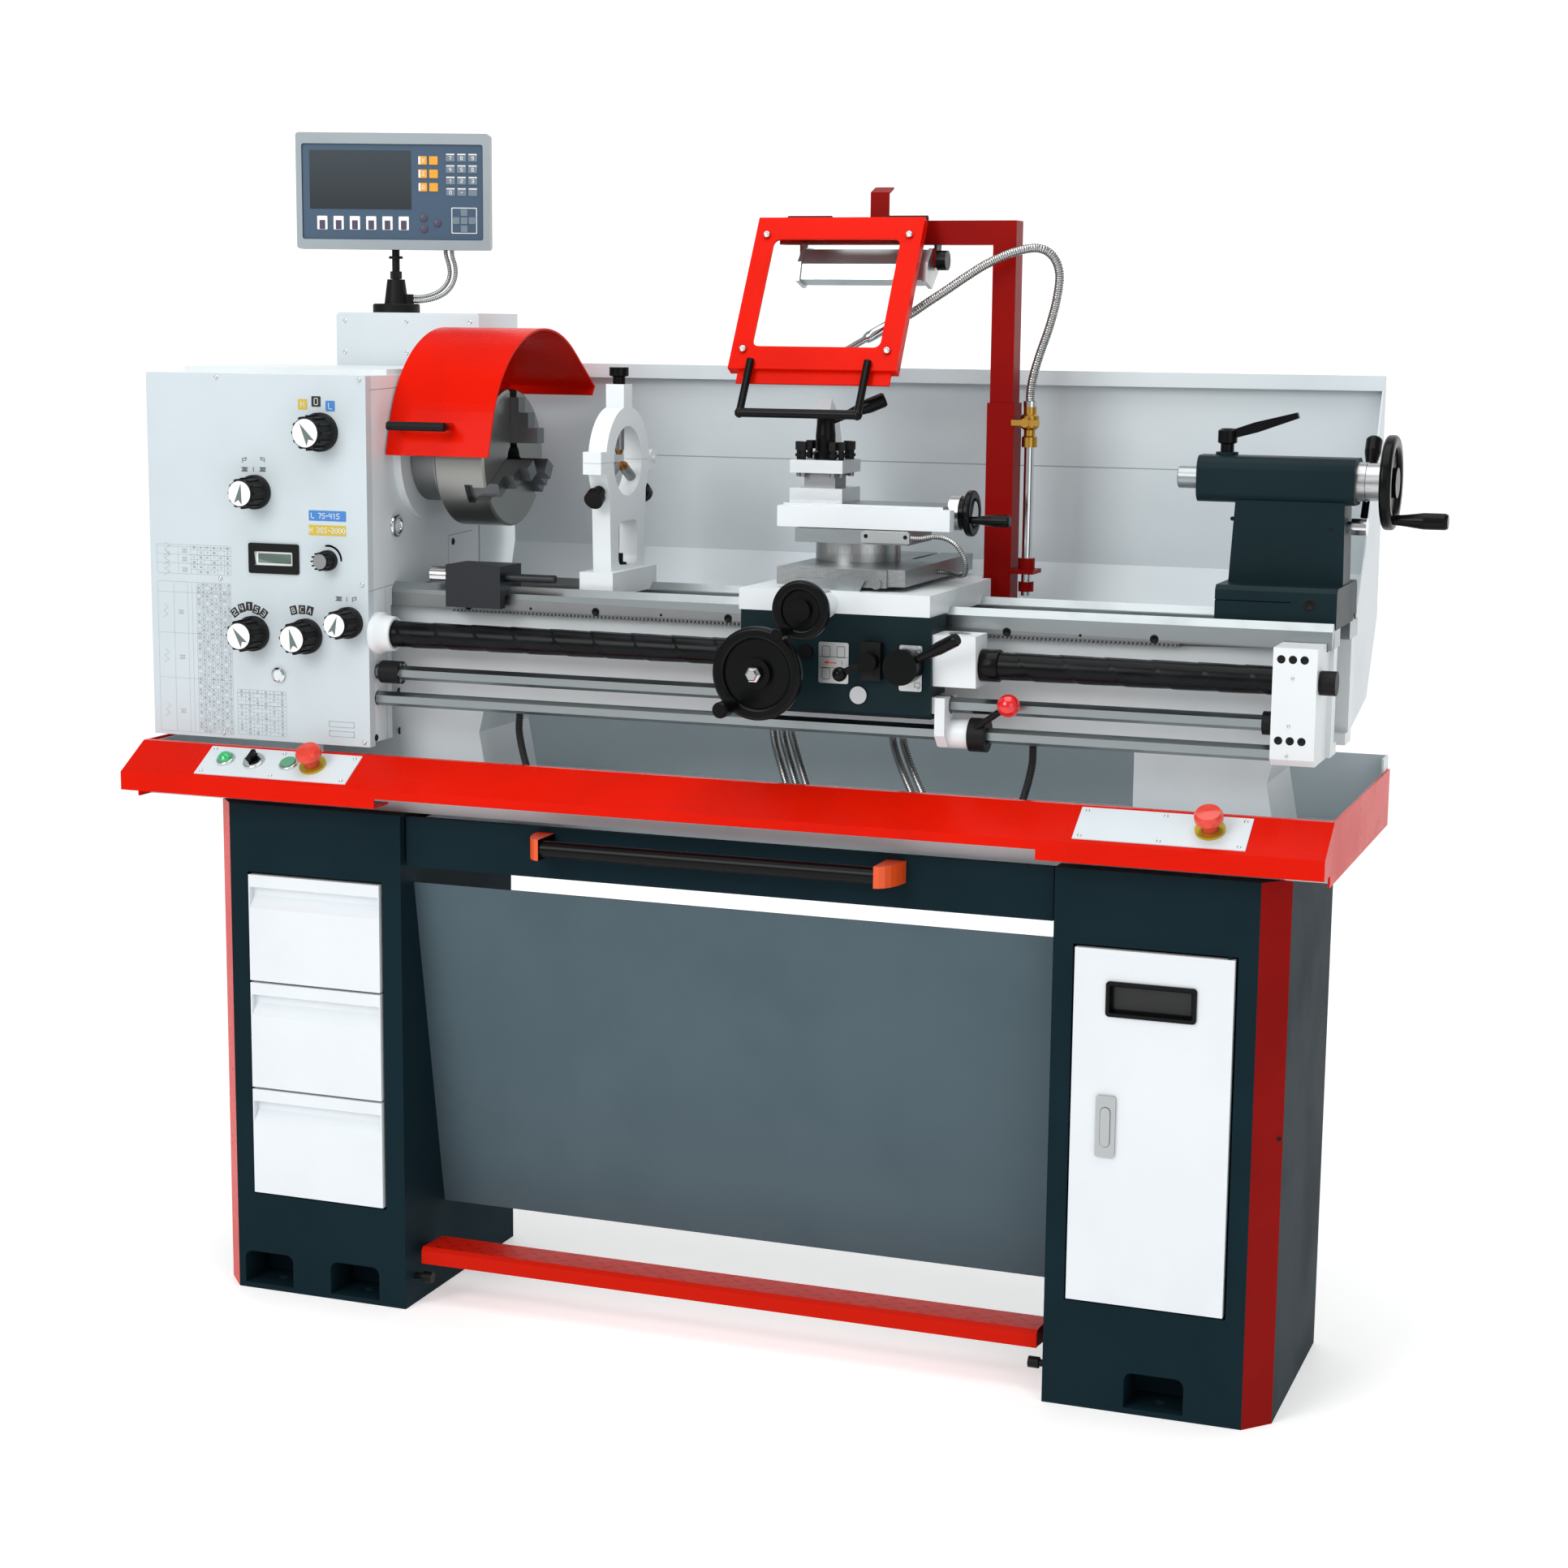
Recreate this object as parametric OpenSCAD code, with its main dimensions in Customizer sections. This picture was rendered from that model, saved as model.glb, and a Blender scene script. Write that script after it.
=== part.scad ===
// Centre lathe on a stand of two cabinets, with chuck, carriage, tailstock,
// steady rest, guards, work light, coolant and a position display.
// Millimetres. +X runs along the bed towards the tailstock, +Y to the back, +Z up.
// The origin lies on the floor, in the middle of the four outer floor bolts.

/* [Machine] */
// Height of the spindle axis above the ways
centre_height = 180; // [172:1:190]
// Width over the bed ways
bed_width = 208; // [204:1:214]
// Length of the bed
bed_length = 1722; // [1700:1:1730]
// Depth of the bed casting from the ways to its lower edge
bed_casting_h = 178; // [165:1:190]
// Height of the bed feet above the chip pan
foot_h = 147; // [135:1:160]
// Distance of the spindle axis behind the middle of the stand
spindle_y = 20; // [14:1:26]

/* [Stand] */
// Length of the outer floor bolt rectangle
bolt_span_x = 1360; // [1350:1:1370]
// Depth of the floor bolt rectangle
bolt_span_y = 296; // [286:1:306]
// Diameter of the floor bolt holes
bolt_hole_d = 18; // [14:1:22]
// Height of the cabinets
cabinet_h = 745; // [735:1:755]
// Width of the left cabinet
left_cabinet_w = 317; // [310:1:322]
// Width of the right cabinet
right_cabinet_w = 309; // [304:1:314]
// Sheet thickness of the cabinets
cabinet_wall = 3; // [2:0.5:4]
// Width of the drawer fronts
drawer_w = 217; // [205:1:222]
// Width of the cabinet door
door_w = 214; // [205:1:220]
// Height of the cabinet fronts above the door and the drawers
front_head = 105; // [100:1:116]

/* [Tray] */
// Half length of the tray
tray_half = 888; // [884:1:894]
// How far the front lip stands ahead of the cabinets
lip_reach = 45; // [40:1:50]
// Height of the front lip
lip_h = 27; // [22:1:32]
// Rise of the sloped control console
slope_rise = 39; // [34:1:44]
// Depth of the sloped control console
slope_run = 64; // [58:1:68]
// Distance from the stand's middle to the back of the tray
tray_back = 316; // [310:1:320]

/* [Headstock] */
// Length of the headstock along the spindle
headstock_l = 363; // [355:1:370]
// Height of the headstock above the spindle axis
headstock_rise = 119; // [112:1:126]
// Spindle through bore
spindle_bore = 40; // [32:1:46]
// Chuck diameter
chuck_d = 200; // [190:1:204]
// Chuck body length
chuck_l = 80; // [74:1:84]
// Sheet thickness of the chuck guard
guard_sheet = 3; // [2:0.5:4]

/* [Rods] */
// Distance of the rods ahead of the spindle axis
rod_reach = 150; // [146:1:152]
// Depth of the lead screw under the ways
lead_drop = 71; // [68:1:74]
// Depth of the feed rod under the ways
feed_drop = 127; // [125:1:129]
// Depth of the control rod under the ways
control_drop = 166; // [162:1:170]
// Lead screw diameter
lead_d = 22; // [18:1:24]
// Feed and control rod width across the corners
hex_d = 21; // [18:1:22]
// Outside diameter of the spring covers on the lead screw
cover_d = 38; // [34:1:40]

/* [Carriage] */
// Left end of the saddle at rest
saddle_x = 67; // [57:1:77]
// Length of the saddle along the bed
saddle_l = 273; // [266:1:276]
// Height of the saddle top above the ways
saddle_rise = 22; // [18:1:24]
// Diameter of the apron handwheel
apron_wheel_d = 127; // [115:1:132]
// Diameter of the cross slide handwheel
cross_wheel_d = 80; // [74:1:84]
// Width of the cross slide
cross_w = 158; // [150:1:160]
// Diameter of the compound swivel
swivel_d = 120; // [110:1:124]
// Side of the square tool post
tool_post_side = 78; // [70:1:80]

/* [Tailstock] */
// Length of the tailstock barrel
barrel_l = 210; // [200:1:214]
// Barrel diameter
barrel_d = 56; // [50:1:60]
// Quill diameter
quill_d = 30; // [26:1:34]
// Diameter of the tailstock handwheel
tail_wheel_d = 125; // [110:1:130]

/* [Guards and display] */
// Width of the tool shield
shield_w = 250; // [235:1:256]
// Length of the tool shield down its slope
shield_l = 252; // [240:1:258]
// Lean of the tool shield from upright
shield_lean = 30; // [25:1:34]
// Side of the shield's square mast
mast_side = 34; // [30:1:35]
// Width of the position display
display_w = 303; // [290:1:312]
// Height of the position display
display_h = 179; // [170:1:184]

/* [Hidden] */
$fn = 48;

cream = "#e9e8e2";
slate = "#39444a";
red = "#c8201c";
black = "#1c1c1e";
steel = "#a9adb0";
chrome = "#d5d8da";
brass_tint = "#b08d45";
orange = "#e5641e";

// Running gap between pieces that move on each other
gap = 0.4;
// Gap round drawer and door fronts
front_gap = 3.5;
sheet = 3;

// Heights worked out from the stand upwards
pan_z = cabinet_h;
foot_z = pan_z + sheet;
bed_z = foot_z + foot_h;
way_z = bed_z + bed_casting_h;
axis_z = way_z + centre_height;
bed_x1 = 862;
bed_x0 = bed_x1 - bed_length;
half_bed = bed_width / 2;
bed_y0 = spindle_y - half_bed;

// Stand
pocket_depth = 70;
pocket_w = 82;
pocket_h = 50;
pocket_floor = 8;
plinth_h = 120;
stand_front = -bolt_span_y / 2 - pocket_depth / 2;
stand_back = -stand_front;
pocket_pitch = 146;
left_x0 = -bolt_span_x / 2 - 86;
left_x1 = left_x0 + left_cabinet_w;
right_x0 = bolt_span_x / 2 - right_cabinet_w / 2;
right_x1 = right_x0 + right_cabinet_w;
corner_cut = [34, 38];
front_z = 153;
front_proud = 4;
front_t = 16;
fronts_z1 = cabinet_h - front_head;
drawer_pitch = (fronts_z1 + front_gap - front_z) / 3;
drawer_h = drawer_pitch - front_gap;
drawer_x0 = left_x0 + 66;
drawer_x1 = drawer_x0 + drawer_w;
drawer_back = stand_back - 25;
runner_w = 18;
door_x0 = right_x0 + 31;
door_x1 = door_x0 + door_w;
door_t = 12;
door_pin = [door_x1 - 7.5, stand_front - front_proud + door_t / 2];
door_pin_d = 6;
chip_panel_h = 73;
chip_z = pan_z - 3 - chip_panel_h;
// Upper edge of the leaning panel behind the chip drawer
panel_z = chip_z - 29;
shelf_z = 395;

// Tray and console
lip_y = stand_front - lip_reach;
lip_z = pan_z + 16;
// The lip is lower in front of the cabinets by this much
lip_step = 14;
lip_ends = [left_x1 - 18, right_x0 - 16];
slope_z = lip_z + lip_h;
crest_y = lip_y + slope_run;
crest_z = slope_z + slope_rise;
slope_angle = atan(slope_rise / slope_run);
pan_y0 = crest_y + 10;
button_d = 22;

// Headstock
head_x1 = -510;
head_x0 = head_x1 - headstock_l;
head_front = -140;
cover_front = head_front - 16;
head_back = 200;
head_top = axis_z + headstock_rise;
cover_z = crest_z + 10;
spindle_seat_d = 90;
nose_d = 132;
chuck_x1 = -362;
chuck_x0 = chuck_x1 - chuck_l;
jaw_w = 22;
jaw_lip = 4;
jaw_r0 = 22;
jaw_r1 = 88;
guard_x0 = head_x1 + 3;
guard_x1 = chuck_x1 + 19;
guard_pin = [spindle_y + 150, axis_z + 77];
guard_pin_d = 16;

// Rods
rod_y = spindle_y - rod_reach;
lead_z = way_z - lead_drop;
feed_z = way_z - feed_drop;
control_z = way_z - control_drop;
bracket_x0 = 799;
bracket_x1 = 856;

// Carriage
saddle_x1 = saddle_x + saddle_l;
saddle_front = spindle_y - 186;
saddle_back = spindle_y + 178;
saddle_top = way_z + saddle_rise;
saddle_skirt = way_z - 7;
apron_z = way_z - 145;
apron_back = bed_y0 - 16;
apron_wheel = [saddle_x + 55, saddle_front - 64, way_z - 85];
cross_axis = [saddle_x + 123, way_z + 5];
cross_x0 = saddle_x + 45;
cross_x1 = cross_x0 + cross_w;
cross_y0 = spindle_y - 160;
cross_y1 = spindle_y + 168;
cross_z = saddle_top + 5;
cross_top = cross_z + 24;
swivel = [saddle_x + 109, spindle_y - 2];
swivel_top = cross_top + 29;
top_x0 = saddle_x + 15;
top_x1 = top_x0 + 251;
top_y0 = swivel[1] - 58;
top_y1 = top_y0 + 92;
top_z = swivel_top + 19;
top_top = top_z + 33;
tool_post_x = top_x0 + 45;
tool_post_y = swivel[1] - 6;
post_side = mast_side + 6;
post_xy = [saddle_x1 + 3, spindle_y + 145];
post_top = way_z + 270;
mast_top = way_z + 525;
pipe_xy = post_xy + [38, 0];
valve_z = way_z + 212;

// Tailstock
tail_x0 = 702;
tail_x1 = 863;
barrel_x0 = 661;
tail_wheel_x = barrel_x0 + barrel_l + 35;
quill_x0 = barrel_x0 - 30;

// Steady rest
steady_x = -193;
steady_r = 78;
steady_bore = 50;

// Shield
shield_hinge = [spindle_y + 112, way_z + 527];
shield_x0 = saddle_x - 82;

// Display
box_x0 = -765;
box_x1 = -520;
box_y0 = 225;
box_y1 = 365;
box_top = axis_z + 209;
box_z0 = axis_z - 370;
display_stand = [-696, 290];
display_z = box_top + 98;
display_turn = 20;

// Routes of the cables and hoses, points chosen by hand
coolant_start = [pipe_xy[0], pipe_xy[1], valve_z + 61];
coolant_route = [for (p = [
  [0, 0, 0], [0, 0, 12], [4, -1, 36], [13, -3, 66], [27, -7, 104], [38, -11, 144], [42, -16, 179], [33, -23, 203],
  [13, -31, 213], [-19, -40, 207], [-54, -48, 191], [-82, -55, 173], [-109, -61, 154], [-133, -66, 138],
  [-156, -71, 122], [-178, -76, 110]
]) coolant_start + p];
nozzle_route = [for (p = [[-178, -76, 110], [-199, -82, 97], [-221, -88, 84]]) coolant_start + p];
tip_route = [for (p = [[-221, -88, 84], [-250, -96, 66]]) coolant_start + p];
reader_end = [saddle_x + 211, swivel[1] - 80, swivel_top + 10];
scale_end = [cross_x1 + 25, spindle_y - 12, cross_top - 12];
scale_route = concat(
  [for (p = [[0, 0, 0], [14, 0, 0], [32, -1, 3], [50, -4, 2], [67, -7, -6], [78, -6, -21], [80, 2, -36]])
    reader_end + p],
  [for (p = [[57, -54, 4], [45, -32, -1], [30, -10, -2], [14, 0, 0], [0, 0, 0]]) scale_end + p]);
// Leads from the gland beside the display's stand up to the display: (out, up) on the turned frame
lead_inner = [
  [27, 25], [38, 25], [50, 27], [62, 31], [73, 38], [81, 48], [85, 60], [84, 74], [80, 88], [79, 94], [79, 98]
];
lead_outer = [
  [27, 18], [38, 18], [52, 20], [66, 24.5], [79, 32], [89, 44], [94, 58], [94, 73], [90, 87], [89, 94], [89, 98]
];
lead_side = 3.5;
function at_display(u, v, up) = [
  display_stand[0] + u * cos(display_turn) - v * sin(display_turn),
  display_stand[1] + u * sin(display_turn) + v * cos(display_turn),
  box_top + up
];
display_routes = [for (l = [lead_inner, lead_outer], v = [-lead_side, lead_side])
  [for (p = l) at_display(p[0], v, p[1])]];
conduit_routes = [for (x = [
  [-318, -314, -300, -284, -276],
  [78, 86, 102, 118, 128],
  [92, 101, 117, 133, 143],
  [106, 116, 132, 148, 158],
  [256, 265, 283, 303, 313],
  [271, 281, 299, 319, 329],
  [457, 459, 458, 452, 446]
])
  [[x[0], -56, bed_z], [x[0], -56, bed_z - 14], [x[1], -66, bed_z - 34], [x[2], -84, bed_z - 60],
   [x[3], -98, bed_z - 92], [x[4], -106, bed_z - 122], [x[4], -106, foot_z]]
];

// Box between two corners
module block(lo, hi) translate(lo) cube(hi - lo);

// Round bars along each axis
module bar_x(x0, x1, d, y, z) translate([x0, y, z]) rotate([0, 90, 0]) cylinder(h = x1 - x0, d = d);
module bar_y(y0, y1, d, x, z) translate([x, y0, z]) rotate([-90, 0, 0]) cylinder(h = y1 - y0, d = d);
module bar_z(z0, z1, d, x, y) translate([x, y, z0]) cylinder(h = z1 - z0, d = d);

// Flat outlines carried along each axis: outlines are drawn in (Y, Z), (X, Z) and (X, Y)
module along_x(x0, x1) translate([x0, 0, 0]) rotate([90, 0, 90]) linear_extrude(x1 - x0) children();
module along_y(y0, y1) translate([0, y1, 0]) rotate([90, 0, 0]) linear_extrude(y1 - y0) children();
module along_z(z0, z1) translate([0, 0, z0]) linear_extrude(z1 - z0) children();

// Turned shapes: the outline is drawn as (radius, distance along the axis)
module turned_x(at) translate(at) rotate([0, 90, 0]) rotate_extrude() children();
module turned_front(at) translate(at) rotate([90, 0, 0]) rotate_extrude() children();
module turned_z(at) translate(at) rotate_extrude() children();

// Rectangle with round corners
module round_rect(lo, hi, r) {
  translate([lo[0] + r, lo[1]]) square([hi[0] - lo[0] - 2 * r, hi[1] - lo[1]]);
  translate([lo[0], lo[1] + r]) square([hi[0] - lo[0], hi[1] - lo[1] - 2 * r]);
  for (x = [lo[0] + r, hi[0] - r], y = [lo[1] + r, hi[1] - r])
    translate([x, y]) circle(r);
}

// Outline of a dished handwheel: hub, web and round rim
module wheel_outline(d, rim, hub_d, hub_l, bore_d) {
  depth = rim * 0.9;
  round_rect([d / 2 - rim, 0], [d / 2, depth], rim * 0.3);
  translate([bore_d / 2, depth * 0.3]) square([d / 2 - rim / 2 - bore_d / 2, depth * 0.3]);
  translate([bore_d / 2, depth * 0.3 - hub_l / 2]) square([(hub_d - bore_d) / 2, hub_l]);
}

// Outline of a turned machine handle that starts at its shank
module handle_outline(l, d)
  polygon([[0, 0], [d * 0.28, 0], [d * 0.3, l * 0.12], [d * 0.36, l * 0.3], [d * 0.48, l * 0.55],
           [d * 0.5, l * 0.6], [d * 0.5, l * 0.95], [d * 0.42, l], [0, l]]);

// Round tube swept along a list of points; the rings keep to one reference direction
function unit(v) = v / norm(v);
function heading(p, i) = unit(p[min(i + 1, len(p) - 1)] - p[max(i - 1, 0)]);
function ring(c, t, r, n, ref) = let (u = unit(cross(t, ref)), v = cross(t, u))
  [for (k = [0:n - 1]) c + r * (cos(360 * k / n) * u + sin(360 * k / n) * v)];
module swept_tube(route, d, n = 8, ref = [0, 1, 0]) {
  rings = len(route);
  points = [for (i = [0:rings - 1]) each ring(route[i], heading(route, i), d / 2, n, ref)];
  sides = [for (i = [0:rings - 2], k = [0:n - 1]) let (a = i * n, b = a + n, m = (k + 1) % n)
    each [[a + k, b + k, b + m], [a + k, b + m, a + m]]];
  ends = [[for (k = [0:n - 1]) k], [for (k = [n - 1:-1:0]) (rings - 1) * n + k]];
  polyhedron(points, concat(sides, ends), convexity = 4);
}

// Stand

module cabinet_plan(x0, x1, cut_left, inset) {
  c = corner_cut;
  k = inset * 0.4;
  y0 = stand_front + inset;
  y1 = stand_back - inset;
  a = x0 + inset;
  b = x1 - inset;
  polygon(cut_left
    ? [[a, stand_front + c[1] + k], [x0 + c[0] + k, y0], [b, y0], [b, y1], [a, y1]]
    : [[a, y0], [x1 - c[0] - k, y0], [b, stand_front + c[1] + k], [b, y1], [a, y1]]);
}

module bolt_pockets(xs) {
  for (x = xs, s = [-1, 1]) {
    y = s > 0 ? stand_back - pocket_depth : stand_front - 1;
    along_y(y, y + pocket_depth + 1) {
      round_rect([x - pocket_w / 2, pocket_floor], [x + pocket_w / 2, pocket_floor + pocket_h], 12);
      translate([x - pocket_w / 2, pocket_floor]) square([pocket_w, pocket_h / 2]);
    }
    bar_z(-1, pocket_floor + 1, bolt_hole_d, x, s * bolt_span_y / 2);
  }
}

module cabinet(x0, x1, cut_left, open_x, open_z, pockets) {
  difference() {
    along_z(0, cabinet_h) cabinet_plan(x0, x1, cut_left, 0);
    along_z(plinth_h, cabinet_h - cabinet_wall) cabinet_plan(x0, x1, cut_left, cabinet_wall);
    block([x0 + cabinet_wall, stand_front + pocket_depth + cabinet_wall, pocket_floor],
          [x1 - cabinet_wall, stand_back - pocket_depth - cabinet_wall, plinth_h + 1]);
    block([open_x[0], stand_front - 1, open_z[0]], [open_x[1], stand_front + cabinet_wall + 1, open_z[1]]);
    bolt_pockets(pockets);
  }
}

module left_cabinet() color(slate) {
  cabinet(left_x0, left_x1, true, [drawer_x0 - front_gap, drawer_x1 + front_gap],
          [front_z - front_gap, fronts_z1 + front_gap], [-bolt_span_x / 2, -bolt_span_x / 2 + pocket_pitch]);
  for (i = [0:2], xs = [[drawer_x0 - 10, drawer_x0 + runner_w], [drawer_x1 - runner_w, drawer_x1 + 10]])
    block([xs[0], stand_front + 24, front_z + i * drawer_pitch - 2],
          [xs[1], stand_back - cabinet_wall + 1, front_z + i * drawer_pitch + 10 - gap]);
  for (xs = [[drawer_x0 - 10, drawer_x0 + 4], [drawer_x1 - 4, drawer_x1 + 10]])
    block([xs[0], stand_front + 24, plinth_h - 1], [xs[1], stand_front + 30, fronts_z1]);
  block([left_x1 - 1, stand_front + 35, chip_z - 2], [left_x1 + 12, stand_back - 30, chip_z + 5 - gap]);
  pedal_bolts(left_x1, 1);
}

module right_cabinet() color(slate) {
  cabinet(right_x0, right_x1, false, [door_x0 - front_gap, door_x1 + front_gap],
          [front_z - front_gap, fronts_z1 + front_gap], [bolt_span_x / 2]);
  for (z = [front_z - front_gap - 10, fronts_z1 + front_gap])
    block([door_pin[0] - 9, stand_front, z], [door_pin[0] + 9, stand_front + 9, z + 10]);
  bar_z(front_z - front_gap - 1, front_z + 10, door_pin_d, door_pin[0], door_pin[1]);
  bar_z(fronts_z1 - 10, fronts_z1 + front_gap + 1, door_pin_d, door_pin[0], door_pin[1]);
  block([right_x0 + 1, stand_front + 30, shelf_z], [right_x1 - 1, stand_back - 1, shelf_z + cabinet_wall]);
  block([right_x0 - 12, stand_front + 35, chip_z - 2], [right_x0 + 1, stand_back - 30, chip_z + 5 - gap]);
  pedal_bolts(right_x0, -1);
}

// One drawer: a front with a sloped finger recess, and an open box behind it
cheek = 2;
module drawer(z0) {
  y = stand_front - front_proud;
  z1 = z0 + drawer_h;
  along_x(drawer_x0, drawer_x1)
    polygon([[y, z0], [y, z1 - 50], [y + 11, z1 - 32], [y + 11, z1 - 22], [y, z1 - 18], [y, z1],
             [y + front_t, z1], [y + front_t, z0]]);
  for (x = [drawer_x0, drawer_x1 - cheek])
    block([x, y, z1 - 54], [x + cheek, y + 13, z1 - 14]);
  difference() {
    block([drawer_x0 + 6, y + front_t - 1, z0 + 10], [drawer_x1 - 6, drawer_back, z1 - 22]);
    block([drawer_x0 + 8, y + front_t, z0 + 12], [drawer_x1 - 8, drawer_back - 2, z1]);
  }
}

pull_size = [112, 38];
latch_size = [27, 85];
module door() color(cream) {
  y0 = stand_front - front_proud;
  pull = [door_x0 + 49, fronts_z1 - 85];
  latch = [door_x0 + 35, front_z + 204];
  difference() {
    block([door_x0, y0, front_z], [door_x1, y0 + door_t, fronts_z1]);
    along_y(y0 - 1, y0 + door_t - 3) round_rect(pull, pull + pull_size, 3);
    for (z = [front_z - 1, fronts_z1 - 12])
      bar_z(z, z + 13, door_pin_d + 2 * gap, door_pin[0], door_pin[1]);
  }
  color(black) along_y(y0 - 3, y0 + 3) difference() {
    round_rect(pull - [5, 5], pull + pull_size + [5, 5], 5);
    round_rect(pull, pull + pull_size, 3);
  }
  color(chrome) along_y(y0 - 4, y0 + 1) round_rect(latch, latch + latch_size, 4);
}

module back_panel() color(slate)
  along_x(left_x1, right_x0)
    polygon([[-142, panel_z], [-54, 131], [-51, 131], [-139, panel_z]]);

// Chip drawer between the cabinets, with a tubular handle
chip_x = [left_x1 + 4, right_x0 - 4];
chip_front = stand_front + 11;
handle_y = chip_front - 43;
handle_z = chip_z + 51;
handle_d = 24;
handle_x = [-208, 287];
horn = [28, 58];
module chip_drawer() color(slate) {
  block([chip_x[0], chip_front, chip_z], [chip_x[1], chip_front + 12, chip_z + chip_panel_h]);
  difference() {
    block([chip_x[0] + 4, chip_front + 11, chip_z + 5],
          [chip_x[1] - 4, stand_back - 13, chip_z + chip_panel_h - 8]);
    block([chip_x[0] + 6, chip_front + 12, chip_z + 7],
          [chip_x[1] - 6, stand_back - 15, chip_z + chip_panel_h + 1]);
  }
  color(black) bar_x(handle_x[0] - 1, handle_x[1] + 1, handle_d, handle_y, handle_z);
  color(orange) for (s = [-1, 1])
    along_z(handle_z - 15, handle_z + 15) translate([s < 0 ? handle_x[0] : handle_x[1], chip_front + 1])
      polygon(concat([[0, 0]], [for (a = [0:15:90]) [s * horn[0] * cos(a), -horn[1] * sin(a)]]));
}

// Foot brake: a folded tread on two end arms that turn on the cabinet pins
pedal_pin = [-108, 74];
pedal_pin_d = 12;
pedal_end = 15;
pedal_arm = 8;
pedal_x = [left_x1 + pedal_end, right_x0 - pedal_end];
stop_bolt = [-150, 42];
// Pin of the foot brake and the stop bolt under it, on the side of a cabinet
module pedal_bolts(x, s) {
  l = pedal_end + pedal_arm + 3;
  color(black) {
    bar_x(x + (s < 0 ? -l : -1), x + (s < 0 ? 1 : l), pedal_pin_d, pedal_pin[0], pedal_pin[1]);
    bar_x(x + (s < 0 ? -28 : -1), x + (s < 0 ? 1 : 28), 10, stop_bolt[0], stop_bolt[1]);
    bar_x(x + (s < 0 ? -28 : 13), x + (s < 0 ? -13 : 28), 16, stop_bolt[0], stop_bolt[1]);
  }
}
module foot_pedal() color(red) {
  along_x(pedal_x[0], pedal_x[1])
    polygon([[-160, 66], [-160, 86], [-155, 91], [-93, 88], [-93, 85], [-153.8, 88], [-157, 84.8], [-157, 66]]);
  for (x = [pedal_x[0], pedal_x[1] - pedal_arm])
    difference() {
      along_x(x, x + pedal_arm)
        polygon([[-158.5, 67], [-158.5, 85.5], [-154.4, 89.5], [-94, 86.5], [-94, 70], [-102, 62], [-120, 62]]);
      bar_x(x - 1, x + pedal_arm + 1, pedal_pin_d + 2 * gap, pedal_pin[0], pedal_pin[1]);
    }
}

// Tray

chip_hole = [[left_x1 + 20, bed_y0 - 4], [right_x0 - 20, tray_back - 176]];
pan_end = tray_half - sheet;
module chip_pan() color(cream) {
  difference() {
    block([-pan_end, pan_y0, pan_z], [pan_end, tray_back, crest_z + 20]);
    block([-pan_end + sheet, pan_y0 + sheet, foot_z], [pan_end - sheet, tray_back - sheet, crest_z + 30]);
    block([-pan_end - 1, pan_y0 - 1, crest_z - 4], [pan_end + 1, tray_back - sheet - 40, crest_z + 30]);
    along_z(pan_z - 1, foot_z + 1) translate(chip_hole[0]) square(chip_hole[1] - chip_hole[0]);
  }
}

// Sheet outline of the console: lip, slope and the flange over the pan
module console_outline(low) {
  b = sheet * 0.6;
  polygon([[stand_front, low], [lip_y, low], [lip_y, slope_z], [crest_y, crest_z], [pan_y0, crest_z],
           [pan_y0, crest_z - 40], [pan_y0 - sheet, crest_z - 40], [pan_y0 - sheet, crest_z - sheet],
           [crest_y + b, crest_z - sheet], [lip_y + sheet, slope_z - b], [lip_y + sheet, low + sheet],
           [stand_front, low + sheet]]);
}

// Places something on the console's slope: x along it, up from the lip, z out of it
module on_slope(x, up)
  translate([x, lip_y, slope_z]) rotate([slope_angle, 0, 0]) translate([0, up, 0]) children();
slope_l = sqrt(slope_rise * slope_rise + slope_run * slope_run);
plate_t = 1.5;
left_plate = [122 - tray_half, 372 - tray_half];
right_plate = [tray_half - 331, tray_half - 103];
signal_x = 159 - tray_half;
key_x = 206 - tray_half;
start_x = 264 - tray_half;
stop_left_x = 304 - tray_half;
stop_right_x = tray_half - 155;
row_up = slope_l * 0.55;
// Pieces on the slope are sunk into the sheet by this much
sunk = 1;
module switch_plate(xs) on_slope(xs[0], 7) translate([0, 0, -sunk])
  cube([xs[1] - xs[0], slope_l - 12, plate_t + sunk]);
module console() color(red) {
  difference() {
    union() {
      along_x(-tray_half + sheet, lip_ends[0]) console_outline(lip_z);
      along_x(lip_ends[0], lip_ends[1]) console_outline(lip_z + lip_step);
      along_x(lip_ends[1], tray_half - sheet) console_outline(lip_z);
      color(cream) for (p = [left_plate, right_plate]) switch_plate(p);
    }
    for (x = [start_x, stop_left_x, stop_right_x])
      on_slope(x, row_up) translate([0, 0, -12]) cylinder(h = 30, d = button_d + 2 * gap);
  }
  for (x = [-tray_half, tray_half - sheet])
    along_x(x, x + sheet)
      polygon([[lip_y, lip_z], [lip_y, slope_z], [crest_y, crest_z], [tray_back, crest_z], [tray_back, pan_z],
               [stand_front, pan_z], [stand_front, lip_z]]);
  color("green") on_slope(signal_x, row_up) rotate_extrude()
    polygon([[0, -sunk], [11, -sunk], [11, 5], [9.5, 10], [6, 13], [3, 14], [0, 14]]);
  color(black) on_slope(key_x, row_up) {
    translate([0, 0, -sunk]) cylinder(h = 8, d = 29);
    translate([-3, -9, 6]) cube([6, 18, 12]);
  }
  color("gold") for (x = [stop_left_x, stop_right_x])
    on_slope(x, row_up) difference() {
      translate([0, 0, -sunk]) cylinder(h = 6, d = 40);
      translate([0, 0, -2]) cylinder(h = 9, d = button_d + 2 * gap);
    }
}

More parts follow.
